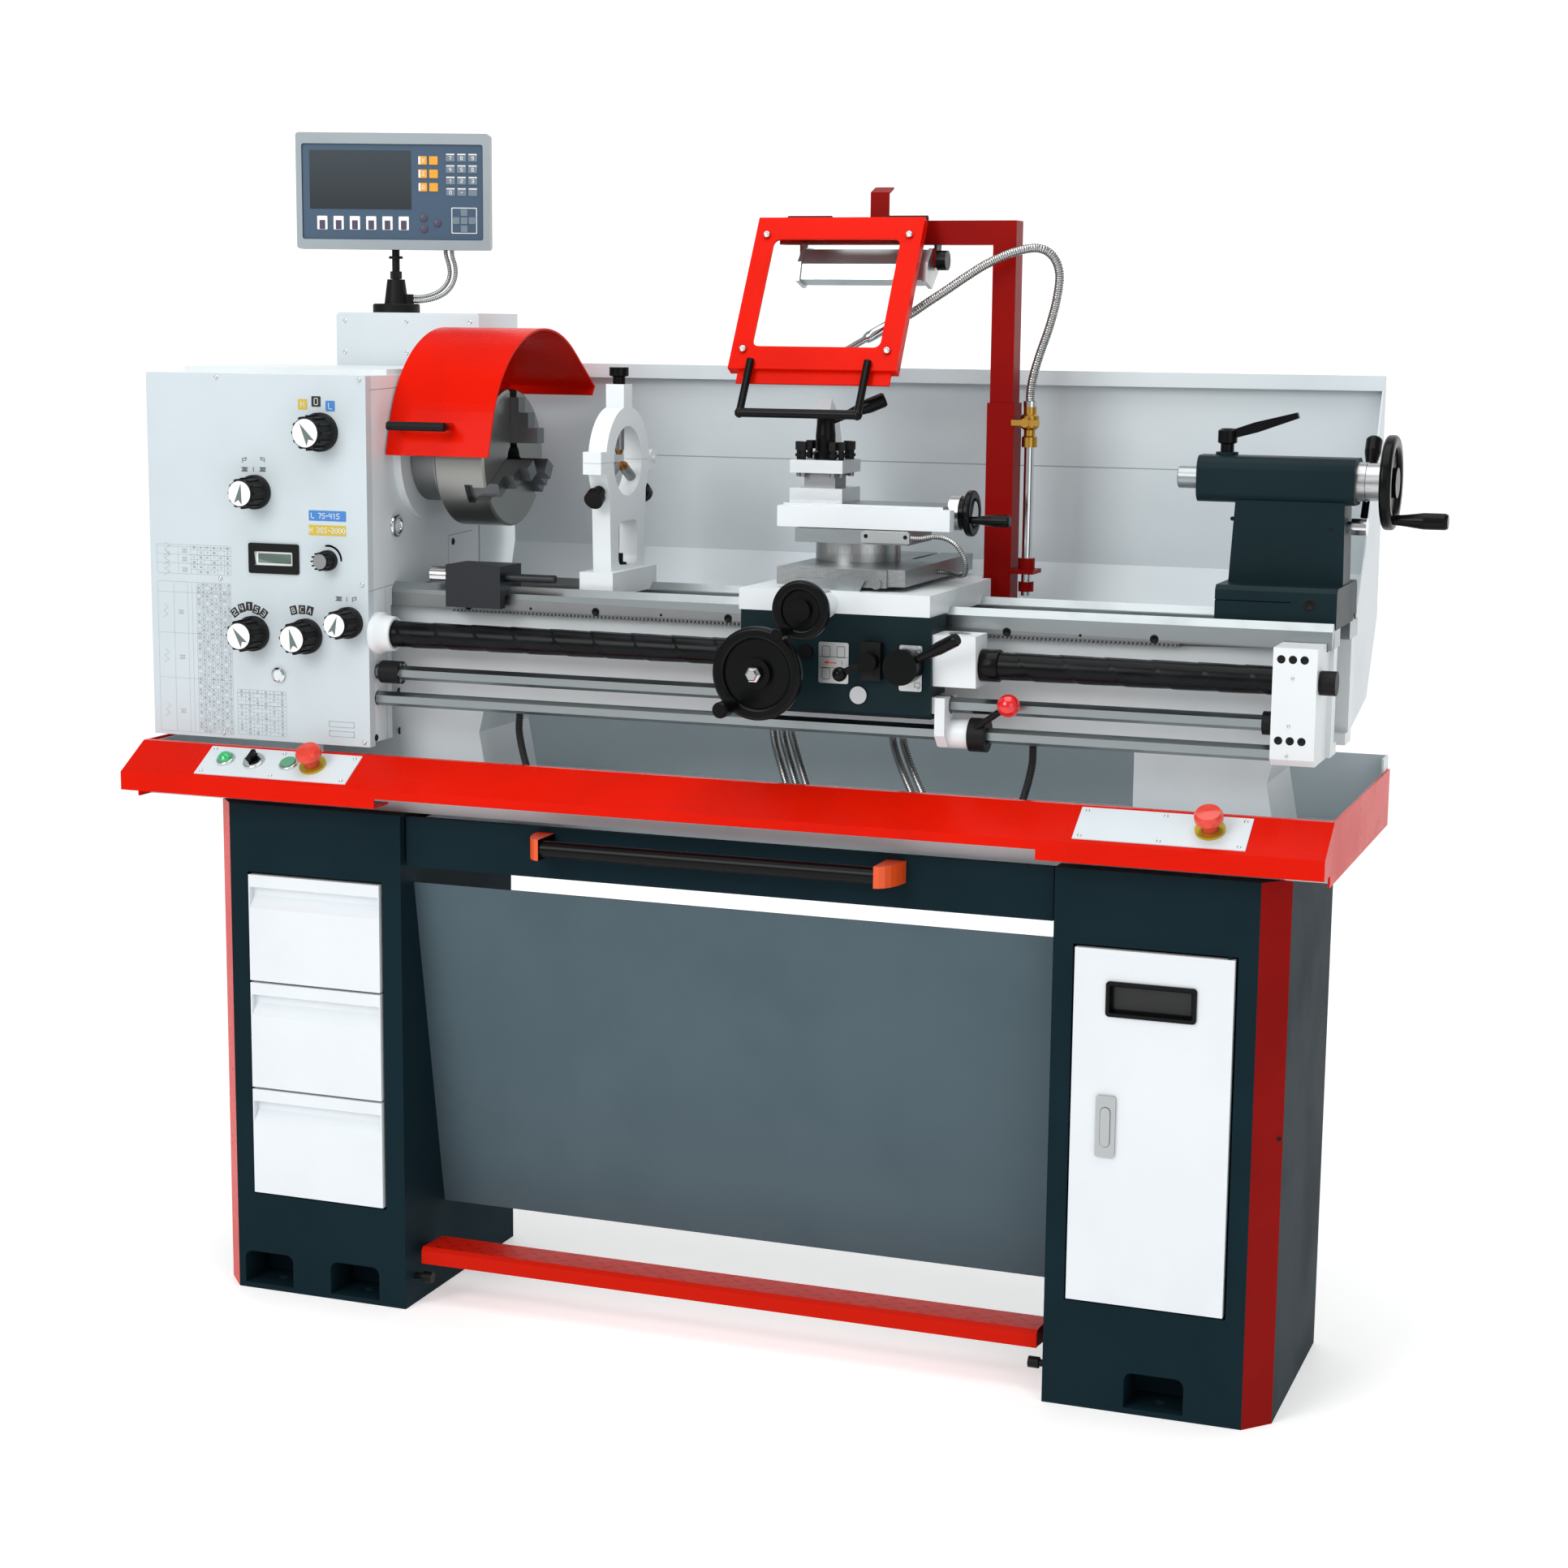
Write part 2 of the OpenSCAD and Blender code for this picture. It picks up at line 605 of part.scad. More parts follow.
module start_button() color("limegreen") on_slope(start_x, row_up)
  translate([0, 0, -10]) cylinder(h = 17, d = button_d);
module stop_button(x) color("red") on_slope(x, row_up) {
  translate([0, 0, -10]) cylinder(h = 28, d = button_d);
  translate([0, 0, 17]) rotate_extrude()
    polygon([[0, 0], [16, 0], [19, 4], [19, 11], [16, 16], [0, 18]]);
}
module stop_button_left() stop_button(stop_left_x);
module stop_button_right() stop_button(stop_right_x);

// Splash guard behind the bed: one folded sheet and its right end plate
guard_y = tray_back + 2;
guard_rise = 312;
guard_top = way_z + guard_rise;
splash_x = [head_x1 + 6, bed_x1 - 4];
bed_back = spindle_y + half_bed - 20;
module splash_guard() color(cream) {
  low = way_z - 168;
  along_x(splash_x[0], splash_x[1])
    polygon([[guard_y - 18, guard_top - 19], [guard_y - 18, guard_top], [guard_y, guard_top],
             [guard_y, way_z + 32], [guard_y - 58, way_z - 135], [bed_back, low], [bed_back, low - 2],
             [guard_y - 57, way_z - 137], [guard_y + 2, way_z + 32], [guard_y + 2, guard_top + 2],
             [guard_y - 20, guard_top + 2], [guard_y - 20, guard_top - 19]]);
  along_x(splash_x[1] - 2, splash_x[1])
    polygon([[guard_y, guard_top], [guard_y - 20, guard_top], [guard_y - 20, guard_top - 19], [190, way_z + 67],
             [140, way_z + 2], [spindle_y + half_bed + 4, way_z - way_depth], [bed_back, way_z - 60],
             [bed_back, low], [guard_y - 58, way_z - 136], [guard_y + 10, way_z - 30]]);
}

// Bed

// Line of the ways from front to back, raised by a gap
function way_line(c) = [
  [-half_bed, -10 + c], [-half_bed + 10, c], [-half_bed + 20, -10 + c], [-40, -10 + c],
  [40, -10 + c], [54, -10 + c], [64, c], [74, -10 + c], [half_bed, -10 + c]
];
function front_way(c) = [for (i = [0:3]) way_line(c)[i]];
function rear_way(c) = [for (i = [4:8]) way_line(c)[i]];
web_y = half_bed - 20;
way_depth = 34;
rib_pitch = 255;
rib_t = 20;
bed_feet = [[-640, -370], [600, 790]];
module bed_outline() translate([spindle_y, way_z]) {
  polygon(concat([[-40, -way_depth], [-half_bed, -way_depth]], front_way(0)));
  polygon(concat(rear_way(0), [[half_bed, -way_depth], [40, -way_depth]]));
  for (s = [-1, 1]) {
    translate([s > 0 ? web_y - 26 : -web_y, -bed_casting_h]) square([26, bed_casting_h - way_depth + 1]);
    translate([s > 0 ? web_y - 46 : -web_y, -bed_casting_h]) square([46, 16]);
  }
}
rack_x = [-414, 660];
rack_pitch = 6;
rack_z = way_z - 40;
module rack() {
  teeth = floor((rack_x[1] - rack_x[0]) / rack_pitch);
  along_y(spindle_y - web_y - 16, spindle_y - web_y)
    polygon(concat([[rack_x[0], way_z - way_depth + 13], [rack_x[0], rack_z]],
      [for (i = [0:teeth - 1]) each [[rack_x[0] + (i + 0.2) * rack_pitch, rack_z],
        [rack_x[0] + (i + 0.4) * rack_pitch, rack_z + 4], [rack_x[0] + (i + 0.8) * rack_pitch, rack_z + 4],
        [rack_x[0] + (i + 1) * rack_pitch, rack_z]]],
      [[rack_x[1], rack_z], [rack_x[1], way_z - way_depth + 13]]));
}
module bed_foot(x0, x1) {
  y0 = spindle_y - web_y;
  difference() {
    along_y(y0, spindle_y + web_y)
      polygon([[x0, foot_z], [x0, bed_z + 1], [x1, bed_z + 1], [x1 - 10, bed_z - 40], [x1 + 10, foot_z]]);
    block([x0 + 22, y0 + 22, foot_z + 18], [x1 - 34, spindle_y + web_y - 22, bed_z + 20]);
  }
}
module bed() {
  color(cream) {
    along_x(bed_x0, bed_x1) bed_outline();
    for (x = [bed_x0 + rib_t:rib_pitch:bed_x1 - 2 * rib_t])
      block([x, spindle_y - web_y + 20, bed_z], [x + rib_t, spindle_y + web_y - 20, way_z - way_depth]);
    for (f = bed_feet) bed_foot(f[0], f[1]);
  }
  color(steel) rack();
}

// Headstock

module headstock() color(cream) {
  difference() {
    union() {
      block([head_x0, head_front, way_z - way_depth], [head_x1, head_back, head_top]);
      block([head_x0, head_front, cover_z + 6], [head_x1, bed_y0 - 4, way_z - way_depth + 1]);
      block([head_x0 + 12, -70, head_top - 1], [head_x1 - 12, head_back - 6, head_top + 8]);
      bar_x(head_x1 - 1, head_x1 + 12, 190, spindle_y, axis_z);
      bar_x(head_x1 - 1, guard_x0 + 20, guard_pin_d, guard_pin[0], guard_pin[1]);
    }
    along_x(head_x0 - 1, head_x1 + 1) translate([spindle_y, way_z])
      polygon(concat([[-half_bed - gap, -way_depth - 1], [-half_bed - gap, -10]], way_line(gap),
                     [[half_bed + gap, -10], [half_bed + gap, -way_depth - 1]]));
    bar_x(head_x0 - 1, head_x1 + 20, spindle_seat_d, spindle_y, axis_z);
    bar_x(head_x1 - 60, head_x1 + 1, lead_d + 2 * gap, rod_y, lead_z);
    for (z = [feed_z, control_z]) bar_x(head_x1 - 60, head_x1 + 1, hex_d + 2 * gap, rod_y, z);
  }
}

// Turned control knob: ribbed skirt, flat face and an arrow on it
module control_knob(x, z, d, l) {
  turned_front([x, cover_front, z])
    polygon([[0, -1], [d * 0.5, -1], [d * 0.5, 8], [d * 0.42, 12], [d * 0.4, l - 3], [d * 0.36, l], [0, l]]);
  for (k = [0:11])
    translate([x, cover_front - 12, z]) rotate([0, k * 30, 0]) translate([d * 0.39, -l * 0.62, -d * 0.035])
      cube([d * 0.06, l * 0.62, d * 0.07]);
}
readout = [[head_x0 + 168, axis_z - 169], [head_x0 + 251, axis_z - 125]];
module headstock_cover() color(cream) {
  difference() {
    block([head_x0, cover_front, cover_z], [head_x1, head_front, head_top]);
    block([head_x0 + sheet, cover_front + sheet, cover_z + sheet],
          [head_x1 - sheet, head_front + 1, head_top - sheet]);
    along_y(cover_front - 1, cover_front + 1.5) round_rect(readout[0] + [10, 12], readout[1] - [10, 12], 1);
    bar_x(head_x1 - sheet - 1, head_x1 + 1, lead_d + 2 * gap, rod_y, lead_z);
    for (z = [feed_z, control_z]) bar_x(head_x1 - sheet - 1, head_x1 + 1, hex_d + 2 * gap, rod_y, z);
  }
  color(black) {
    control_knob(head_x0 + 290, axis_z + 38, 56, 46);
    control_knob(head_x0 + 181, axis_z - 51, 50, 46);
    control_knob(head_x0 + 173, axis_z - 258, 52, 44);
    control_knob(head_x0 + 261, axis_z - 258, 52, 44);
    control_knob(head_x0 + 331, axis_z - 235, 46, 44);
    control_knob(head_x0 + 299, axis_z - 146, 30, 26);
    along_y(cover_front - 3, cover_front + 1) difference() {
      round_rect(readout[0], readout[1], 3);
      round_rect(readout[0] + [10, 12], readout[1] - [10, 12], 1);
    }
  }
  color(chrome) turned_front([head_x0 + 214, cover_front, axis_z - 317])
    polygon([[0, -1], [11, -1], [11, 4], [8, 6], [8, 4], [0, 4]]);
}

// Carries an outline drawn as (across, along the spindle) out along the radius
module along_radius(r0, r1)
  translate([0, r0, 0]) rotate(a = 240, v = [1, 1, 1]) linear_extrude(r1 - r0) children();
module round_jaw(i) translate([chuck_x0, spindle_y, axis_z]) rotate([90 - 120 * i, 0, 0]) children();

// Section of a jaw or of its slot: a stem with two guide lips
module jaw_section(top, spare) {
  w = jaw_w / 2 + spare;
  foot = chuck_l - 34 - spare;
  lip = chuck_l - 22 + spare;
  polygon([[-w - jaw_lip, foot], [-w - jaw_lip, lip], [-w, lip], [-w, top], [w, top], [w, lip],
           [w + jaw_lip, lip], [w + jaw_lip, foot]]);
}

// Spindle with the chuck body on its nose
module spindle() color(steel) {
  tail = head_x0 - chuck_x0;
  front = head_x1 - chuck_x0;
  seat = spindle_seat_d / 2 - gap;
  difference() {
    turned_x([chuck_x0, spindle_y, axis_z])
      polygon([[spindle_bore / 2, tail - 8], [seat - 10, tail - 8], [seat - 10, tail + 4], [seat, tail + 4],
               [seat, tail + 50], [seat - 9, tail + 50], [seat - 9, front - 60], [seat, front - 60],
               [seat, front + 13], [nose_d / 2, front + 13], [nose_d / 2, -8], [chuck_d / 2 - 14, -8],
               [chuck_d / 2 - 14, 0], [chuck_d / 2 - 3, 0], [chuck_d / 2, 3], [chuck_d / 2, chuck_l - 3],
               [chuck_d / 2 - 3, chuck_l], [spindle_bore / 2, chuck_l]]);
    for (i = [0:2]) {
      round_jaw(i) along_radius(jaw_r0 - 16, chuck_d / 2 + 2) jaw_section(chuck_l + 2, gap);
      round_jaw(i) rotate([60, 0, 0]) rotate([-90, 0, 0]) translate([chuck_l * 0.45, 0, chuck_d / 2 - 16])
        cylinder(h = 20, d = 15);
    }
  }
}

// Stepped chuck jaw: three steps that rise towards the middle
module jaw(i) color("#6d7072") round_jaw(i) {
  step = (jaw_r1 - jaw_r0) / 3;
  along_radius(jaw_r0, jaw_r1) jaw_section(chuck_l + 14, 0);
  for (k = [1, 2])
    along_radius(jaw_r0, jaw_r1 - k * step)
      translate([-jaw_w / 2, chuck_l + 13]) square([jaw_w, 1 + 15 * k]);
}
module jaw_1() jaw(0);
module jaw_2() jaw(1);
module jaw_3() jaw(2);

// Chuck guard: a rolled sheet with a straight front, a straight tail and a turned lip
guard_r = 186;
guard_mid = [spindle_y + 69, axis_z + 2];
guard_front_a = 163;
guard_tail_a = 54;
guard_tail_l = 90;
guard_front_l = 53;
guard_steps = 27;
function polar(r, a) = r * [cos(a), sin(a)];
function guard_line(r) = concat(
  [polar(r, guard_front_a) + polar(guard_front_l, guard_front_a + 90)],
  [for (i = [0:guard_steps]) polar(r, guard_front_a + (guard_tail_a - guard_front_a) * i / guard_steps)],
  [polar(r, guard_tail_a) + polar(guard_tail_l, guard_tail_a - 90)]);
module guard_outline() translate(guard_mid) {
  inner = guard_line(guard_r - guard_sheet);
  polygon(concat(guard_line(guard_r), [for (i = [len(inner) - 1:-1:0]) inner[i]]));
  rotate(guard_tail_a) translate([guard_r - guard_sheet - 14, -guard_tail_l]) square([16, guard_sheet]);
}
module chuck_guard() color(red) {
  along_x(guard_x0, guard_x1) guard_outline();
  difference() {
    along_x(guard_x0, guard_x0 + 18) {
      translate(guard_pin) circle(d = 36);
      polygon([for (p = [[0, -14], [88, -2], [101, 12], [92, 24], [0, 14]]) guard_pin + p]);
    }
    bar_x(guard_x0 - 1, guard_x0 + 19, guard_pin_d + 2 * gap, guard_pin[0], guard_pin[1]);
  }
  color(black) {
    z = axis_z + 48;
    y = guard_mid[0] - guard_r;
    for (x = [guard_x0 + 20, guard_x0 + 100]) bar_y(y - 26, y + 18, 11, x, z);
    bar_x(guard_x0 + 14.5, guard_x0 + 105.5, 13, y - 26, z);
  }
}

// Box at the back of the headstock, with the stand of the display
stand_cone_z = box_top + 12;
stem_d = 12;
module electrics_box() color(cream) {
  block([box_x0, box_y0, box_z0], [box_x1, box_y1, box_top]);
  block([box_x0 + 20, head_back, axis_z - 150], [box_x1 - 20, box_y0 + 1, axis_z + 90]);
  block([box_x0 - 2, box_y0 - 2, box_top - 95], [box_x1 + 2, box_y0 + 1, box_top - 3]);
  color(slate) difference() {
    turned_z([display_stand[0], display_stand[1], box_top])
      polygon([[0, -1], [37, -1], [37, 12], [35, 14], [19, 14], [14, 52], [0, 52]]);
    bar_z(stand_cone_z, stand_cone_z + 60, stem_d + 2 * gap, display_stand[0], display_stand[1]);
  }
  color(black) translate(display_stand) rotate(display_turn)
    block([10, -8, box_top + 13], [27, 8, box_top + 29]);
}

// Position display on its turning stem
module display() translate(display_stand) rotate(display_turn) {
  w = display_w / 2;
  color("#9da3a6") difference() {
    along_y(-26, 14) round_rect([-w, display_z], [w, display_z + display_h], 5);
    along_y(-27, -22) round_rect([-w + 9, display_z + 15], [w - 10, display_z + display_h - 17], 4);
  }
  color("#41586c") along_y(-23, -21.5)
    round_rect([-w + 9.5, display_z + 15.5], [w - 10.5, display_z + display_h - 17.5], 4);
  color(black) {
    bar_z(stand_cone_z + 2, display_z + 1, stem_d, 0, 0);
    translate([0, 0, box_top + 52.5]) cylinder(h = 12, d = 18.5, $fn = 6);
    bar_z(display_z - 14, display_z - 10, 22, 0, 0);
  }
}

module cables() color("#b9bcbe") {
  for (r = conduit_routes) swept_tube(r, 11);
  for (r = display_routes) swept_tube(r, 6);
}

// Bracket that carries the right ends of the rods
bracket_front = rod_y - 25;
module rod_bracket() color(cream) difference() {
  y = spindle_y - web_y;
  along_x(bracket_x0, bracket_x1)
    polygon([[bracket_front, control_z - 4], [bracket_front, way_z - 25], [bed_y0 - 4, way_z - 25],
             [bed_y0 - 4, way_z - way_depth - 2], [y, way_z - way_depth - 2], [y, control_z - 13],
             [bracket_front + 9, control_z - 13]]);
  bar_x(bracket_x0 - 1, bracket_x1 + 1, lead_d + 2 * gap, rod_y, lead_z);
  for (z = [feed_z, control_z]) bar_x(bracket_x0 - 1, bracket_x0 + 40, hex_d + 2 * gap, rod_y, z);
}

module lead_screw() color(steel) {
  bar_x(head_x1 - 55, bracket_x1 + 2, lead_d, rod_y, lead_z);
  color(black) bar_x(bracket_x1 + 1, bracket_x1 + 22, lead_d + 10, rod_y, lead_z);
}
module hex_rod(z) {
  translate([head_x1 - 55, rod_y, z]) rotate([0, 90, 0])
    cylinder(h = bracket_x0 + 35 - head_x1 + 55, d = hex_d, $fn = 6);
}
module feed_rod() color(steel) {
  hex_rod(feed_z);
  color(black) {
    bar_x(head_x1 + 8, head_x1 + 40, hex_d + 12, rod_y, feed_z);
    bar_x(bracket_x0 - 14, bracket_x0 - 1, hex_d + 10, rod_y, feed_z);
  }
}
module control_rod() color(steel) hex_rod(control_z);

// Spiral spring covers over the lead screw, on both sides of the apron
cover_left = [head_x1, saddle_x + 2.5];
cover_right = [saddle_x1 + 63.5, bracket_x0];
module screw_cover(xs, collar_x) difference() {
  union() {
    bar_x(xs[0], xs[1], cover_d, rod_y, lead_z);
    bar_x(collar_x, collar_x + 26, cover_d + 6, rod_y, lead_z);
  }
  bar_x(xs[0] - 1, xs[1] + 1, lead_d + 6, rod_y, lead_z);
}
module screw_covers() color(black) {
  screw_cover(cover_left, cover_left[1] - 26);
  screw_cover(cover_right, cover_right[0]);
}

// Carriage

// Male dovetail drawn as (across, up), wider at its top
module dovetail(w, h, spare)
  polygon([[-w / 2 - spare, -1], [-w / 2 - 8 - spare, h + spare], [w / 2 + 8 + spare, h + spare],
           [w / 2 + spare, -1]]);
cross_mid = (cross_x0 + cross_x1) / 2;
tail_w = 84;
tail_h = 15;
module saddle_section() {
  edge = spindle_y + half_bed + gap;
  polygon(concat(
    [[saddle_front, saddle_skirt], [saddle_front, saddle_top], [saddle_back, saddle_top],
     [saddle_back, way_z - 24], [edge, way_z - 24]],
    [for (i = [8:-1:0]) [spindle_y, way_z] + way_line(gap)[i] + [i == 8 ? gap : i == 0 ? -gap : 0, 0]],
    [[bed_y0 - gap, saddle_skirt]]));
}
follow_x = saddle_x + 9;
module follow_rest() {
  y = spindle_y;
  difference() {
    along_x(follow_x, follow_x + 22) {
      polygon([[y + 118, saddle_top - 1], [y + 118, axis_z + 10], [y + 88, axis_z + 70], [y + 100, axis_z + 92],
               [y + 132, axis_z + 66], [y + 158, axis_z - 10], [y + 158, saddle_top - 1]]);
    }
    along_x(follow_x - 1, follow_x + 23) round_rect([y + 130, saddle_top + 26], [y + 147, axis_z - 26], 6);
  }
  bar_y(y + 96, y + 172, 24, follow_x + 11, axis_z);
}
module saddle() color(cream) {
  difference() {
    along_x(saddle_x, saddle_x1) saddle_section();
    block([post_xy[0] - post_side / 2, post_xy[1] - 40, way_z - 60],
          [saddle_x1 + 1, saddle_back + 1, saddle_top + 1]);
    bar_y(saddle_front - 80, saddle_front + 60, 14 + 2 * gap, cross_axis[0], cross_axis[1]);
  }
  difference() {
    bar_y(saddle_front - 66, saddle_front + 1, 40, cross_axis[0], cross_axis[1]);
    bar_y(saddle_front - 80, saddle_front + 2, 14 + 2 * gap, cross_axis[0], cross_axis[1]);
    block([cross_axis[0] - 30, saddle_front - gap, saddle_skirt - 20],
          [cross_axis[0] + 30, saddle_front + 2, saddle_skirt + gap]);
  }
  translate([0, 0, saddle_top]) along_y(saddle_front + 20, saddle_back - 6)
    translate([cross_mid, 0]) dovetail(tail_w, tail_h, 0);
  follow_rest();
}

apron_x = [saddle_x + 3, saddle_x1 + 3];
dial_block = [apron_x[1], apron_x[1] + 60];
lever_bracket = [apron_x[1] + 5, apron_x[1] + 46];
half_nut = [saddle_x + 243, way_z - 72];
feed_pivot = [saddle_x + 195, way_z - 68];
module apron() color(slate) difference() {
  union() {
    along_x(apron_x[0], apron_x[1])
      polygon([[saddle_front, apron_z + 6], [saddle_front, saddle_skirt], [apron_back, saddle_skirt],
               [apron_back, apron_z], [saddle_front + 6, apron_z]]);
    bar_y(saddle_front - 26, saddle_front + 1, 44, apron_wheel[0], apron_wheel[2]);
    bar_y(saddle_front - 6, saddle_front + 1, 20, apron_wheel[0] + 44, apron_wheel[2] + 24);
    along_y(saddle_front - 14, saddle_front + 1)
      round_rect(feed_pivot + [-14, -26], feed_pivot + [14, 26], 3);
    color(cream) along_y(saddle_front - 2, saddle_front + 1) {
      round_rect(feed_pivot + [-78, -34], feed_pivot + [-35, 22], 3);
      round_rect(half_nut + [-11, -35], half_nut + [21, 27], 3);
    }
    color(chrome) bar_y(saddle_front - 4, saddle_front + 1, 24, feed_pivot[0] - 20, apron_z + 29);
    color(cream) along_x(dial_block[0], dial_block[1])
      polygon([[saddle_front + 10, way_z - 100], [saddle_front + 4, way_z - 30], [apron_back - 6, way_z - 30],
               [apron_back - 6, way_z - 100]]);
    color(cream) {
      along_x(lever_bracket[0], lever_bracket[0] + 14)
        polygon([[saddle_front + 4, apron_z + 30], [saddle_front + 4, control_z], [rod_y - 16, control_z - 17],
                 [rod_y + 16, control_z - 17], [rod_y + 24, control_z], [rod_y + 24, apron_z + 30]]);
      block([apron_x[1] - 1, saddle_front + 8, apron_z + 8], [lever_bracket[0] + 1, apron_back - 4, apron_z + 30]);
      bar_x(lever_bracket[0], lever_bracket[1], 40, rod_y, control_z);
    }
  }
  bar_x(apron_x[0] - 1, dial_block[1] + 1, lead_d + 8, rod_y, lead_z);
  bar_x(apron_x[0] - 1, lever_bracket[1] + 1, hex_d + 4, rod_y, feed_z);
  bar_x(lever_bracket[0] - 1, lever_bracket[1] + 1, hex_d + 2 * gap, rod_y, control_z);
  bar_y(saddle_front - 30, saddle_front + 24, 18 + 2 * gap, apron_wheel[0], apron_wheel[2]);
  bar_y(saddle_front - 8, saddle_front + 24, 18 + 2 * gap, half_nut[0], half_nut[1]);
  bar_y(saddle_front - 20, saddle_front + 14, 10 + 2 * gap, feed_pivot[0], feed_pivot[1]);
}

module apron_handwheel() {
  at = apron_wheel;
  color(black) {
    turned_front(at) wheel_outline(apron_wheel_d, 17, 42, 26, 0);
    turned_front(at + [-30, -8, -44]) handle_outline(64, 22);
  }
  color(chrome) {
    bar_y(at[1] - 24, at[1] - 10, 22, at[0], at[2]);
    bar_y(at[1] + 8, saddle_front + 20, 18, at[0], at[2]);
  }
}

module half_nut_lever() color(black) {
  bar_y(saddle_front - 34, saddle_front - 2 - gap, 48, half_nut[0], half_nut[1]);
  bar_y(saddle_front - 3, saddle_front + 20, 18, half_nut[0], half_nut[1]);
  translate([half_nut[0], saddle_front - 20, half_nut[1]]) rotate([0, 62, 0]) rotate([14, 0, 0])
    translate([0, 0, 18]) rotate_extrude() handle_outline(78, 18);
}

module feed_lever() color(black) {
  y = saddle_front - 14 - gap;
  bar_y(y - 16, y, 26, feed_pivot[0], feed_pivot[1]);
  bar_y(y - 1, saddle_front + 12, 10, feed_pivot[0], feed_pivot[1]);
  translate([feed_pivot[0], y - 8, feed_pivot[1]]) rotate([-30, 0, 0]) rotate([0, -118, 0]) {
    cylinder(h = 40, d = 10);
    translate([0, 0, 42]) sphere(d = 20);
  }
}

module control_lever() {
  x = lever_bracket[1] + 1;
  color(black) {
    difference() {
      bar_x(x, x + 24, 46, rod_y, control_z);
      bar_x(x - 1, x + 25, hex_d + 2 * gap, rod_y, control_z);
    }
    translate([x + 12, rod_y - 17, control_z + 12]) rotate([18, 55, 0]) cylinder(h = 58, d = 9);
  }
  color("red") translate([x + 12, rod_y - 17, control_z + 12]) rotate([18, 55, 0])
    translate([0, 0, 64]) sphere(d = 31);
}

module cross_slide() color(steel) {
  difference() {
    block([cross_x0, cross_y0, cross_z], [cross_x1, cross_y1, cross_top]);
    translate([0, 0, saddle_top]) along_y(cross_y0 - 1, cross_y1 + 1)
      translate([cross_mid, 0]) dovetail(tail_w, tail_h, gap);
    along_y(spindle_y + 40, cross_y1 + 1) translate([cross_x1 - 26, cross_top]) {
      translate([-4, -8]) square([8, 9]);
      translate([-7, -14]) square([14, 6]);
    }
  }
  color("#c7cacb") block([cross_x1, cross_y0 + 4, cross_z + 2], [cross_x1 + 25, cross_y1 - 4, cross_top + 1]);
  color(black) bar_y(cross_y0 - 4, cross_y0 + 1, 15, cross_x1 - 14, cross_z + 6);
}

module cross_handwheel() {
  at = [cross_axis[0], saddle_front - 84, cross_axis[1]];
  color(black) {
    turned_front(at) wheel_outline(cross_wheel_d, 14, 30, 22, 0);
    turned_front(at + [-14, -8, -28]) handle_outline(56, 18);
  }
  color(chrome) {
    bar_y(at[1] + 6, saddle_front - 66 - gap, 34, at[0], at[2]);
    bar_y(saddle_front - 67, saddle_front + 50, 14, at[0], at[2]);
  }
}

// Compound rest: swivel and the lower half of its dovetail
top_mid = (top_y0 + top_y1) / 2;
top_tail_w = 42;
top_tail_h = 10;
// Right end of the base, clear of the dial boss at the end of the slide's travel
base_x1 = top_x1 - 60;
module compound_base() color(steel) {
  bar_z(cross_top + gap / 2, swivel_top, swivel_d, swivel[0], swivel[1]);
  block([top_x0 + 26, top_y0 - 18, swivel_top - 1], [base_x1, top_y1, top_z - gap]);
  translate([0, 0, top_z - gap]) along_x(top_x0 + 26, base_x1)
    translate([top_mid, 0]) dovetail(top_tail_w, top_tail_h, 0);
  color("#b9bcbe") block([top_x0 + 126, top_y0 - 27, swivel_top + 2], [top_x0 + 196, top_y0 - 17, top_z - 2]);
}

screw_axis = [top_mid, top_z + 23];
module top_slide() color(cream) {
  difference() {
    block([top_x0 + 2, top_y0, top_z], [top_x1 - 16, top_y1, top_top]);
    translate([0, 0, top_z - gap]) along_x(top_x0, top_x1)
      translate([top_mid, 0]) dovetail(top_tail_w, top_tail_h, gap);
    bar_x(top_x1 - 60, top_x1, 12 + 2 * gap, screw_axis[0], screw_axis[1]);
  }
  block([top_x0, top_y0 - 20, top_z + 1], [top_x1, top_y0 + 1, top_z + 30]);
  color(steel) difference() {
    bar_x(top_x1 - 17, top_x1 - 2, 48, screw_axis[0], screw_axis[1]);
    bar_x(top_x1 - 18, top_x1, 12 + 2 * gap, screw_axis[0], screw_axis[1]);
  }
}

module compound_handwheel() {
  at = [top_x1 + 6, screw_axis[0], screw_axis[1]];
  color(black) {
    turned_x(at) wheel_outline(64, 12, 34, 14, 0);
    turned_x(at + [8, -18, -8]) handle_outline(58, 17);
  }
  color(steel) {
    bar_x(top_x1 - 2 + gap, at[0] + 2, 44, screw_axis[0], screw_axis[1]);
    bar_x(top_x1 - 56, top_x1 + 2, 12, screw_axis[0], screw_axis[1]);
  }
}

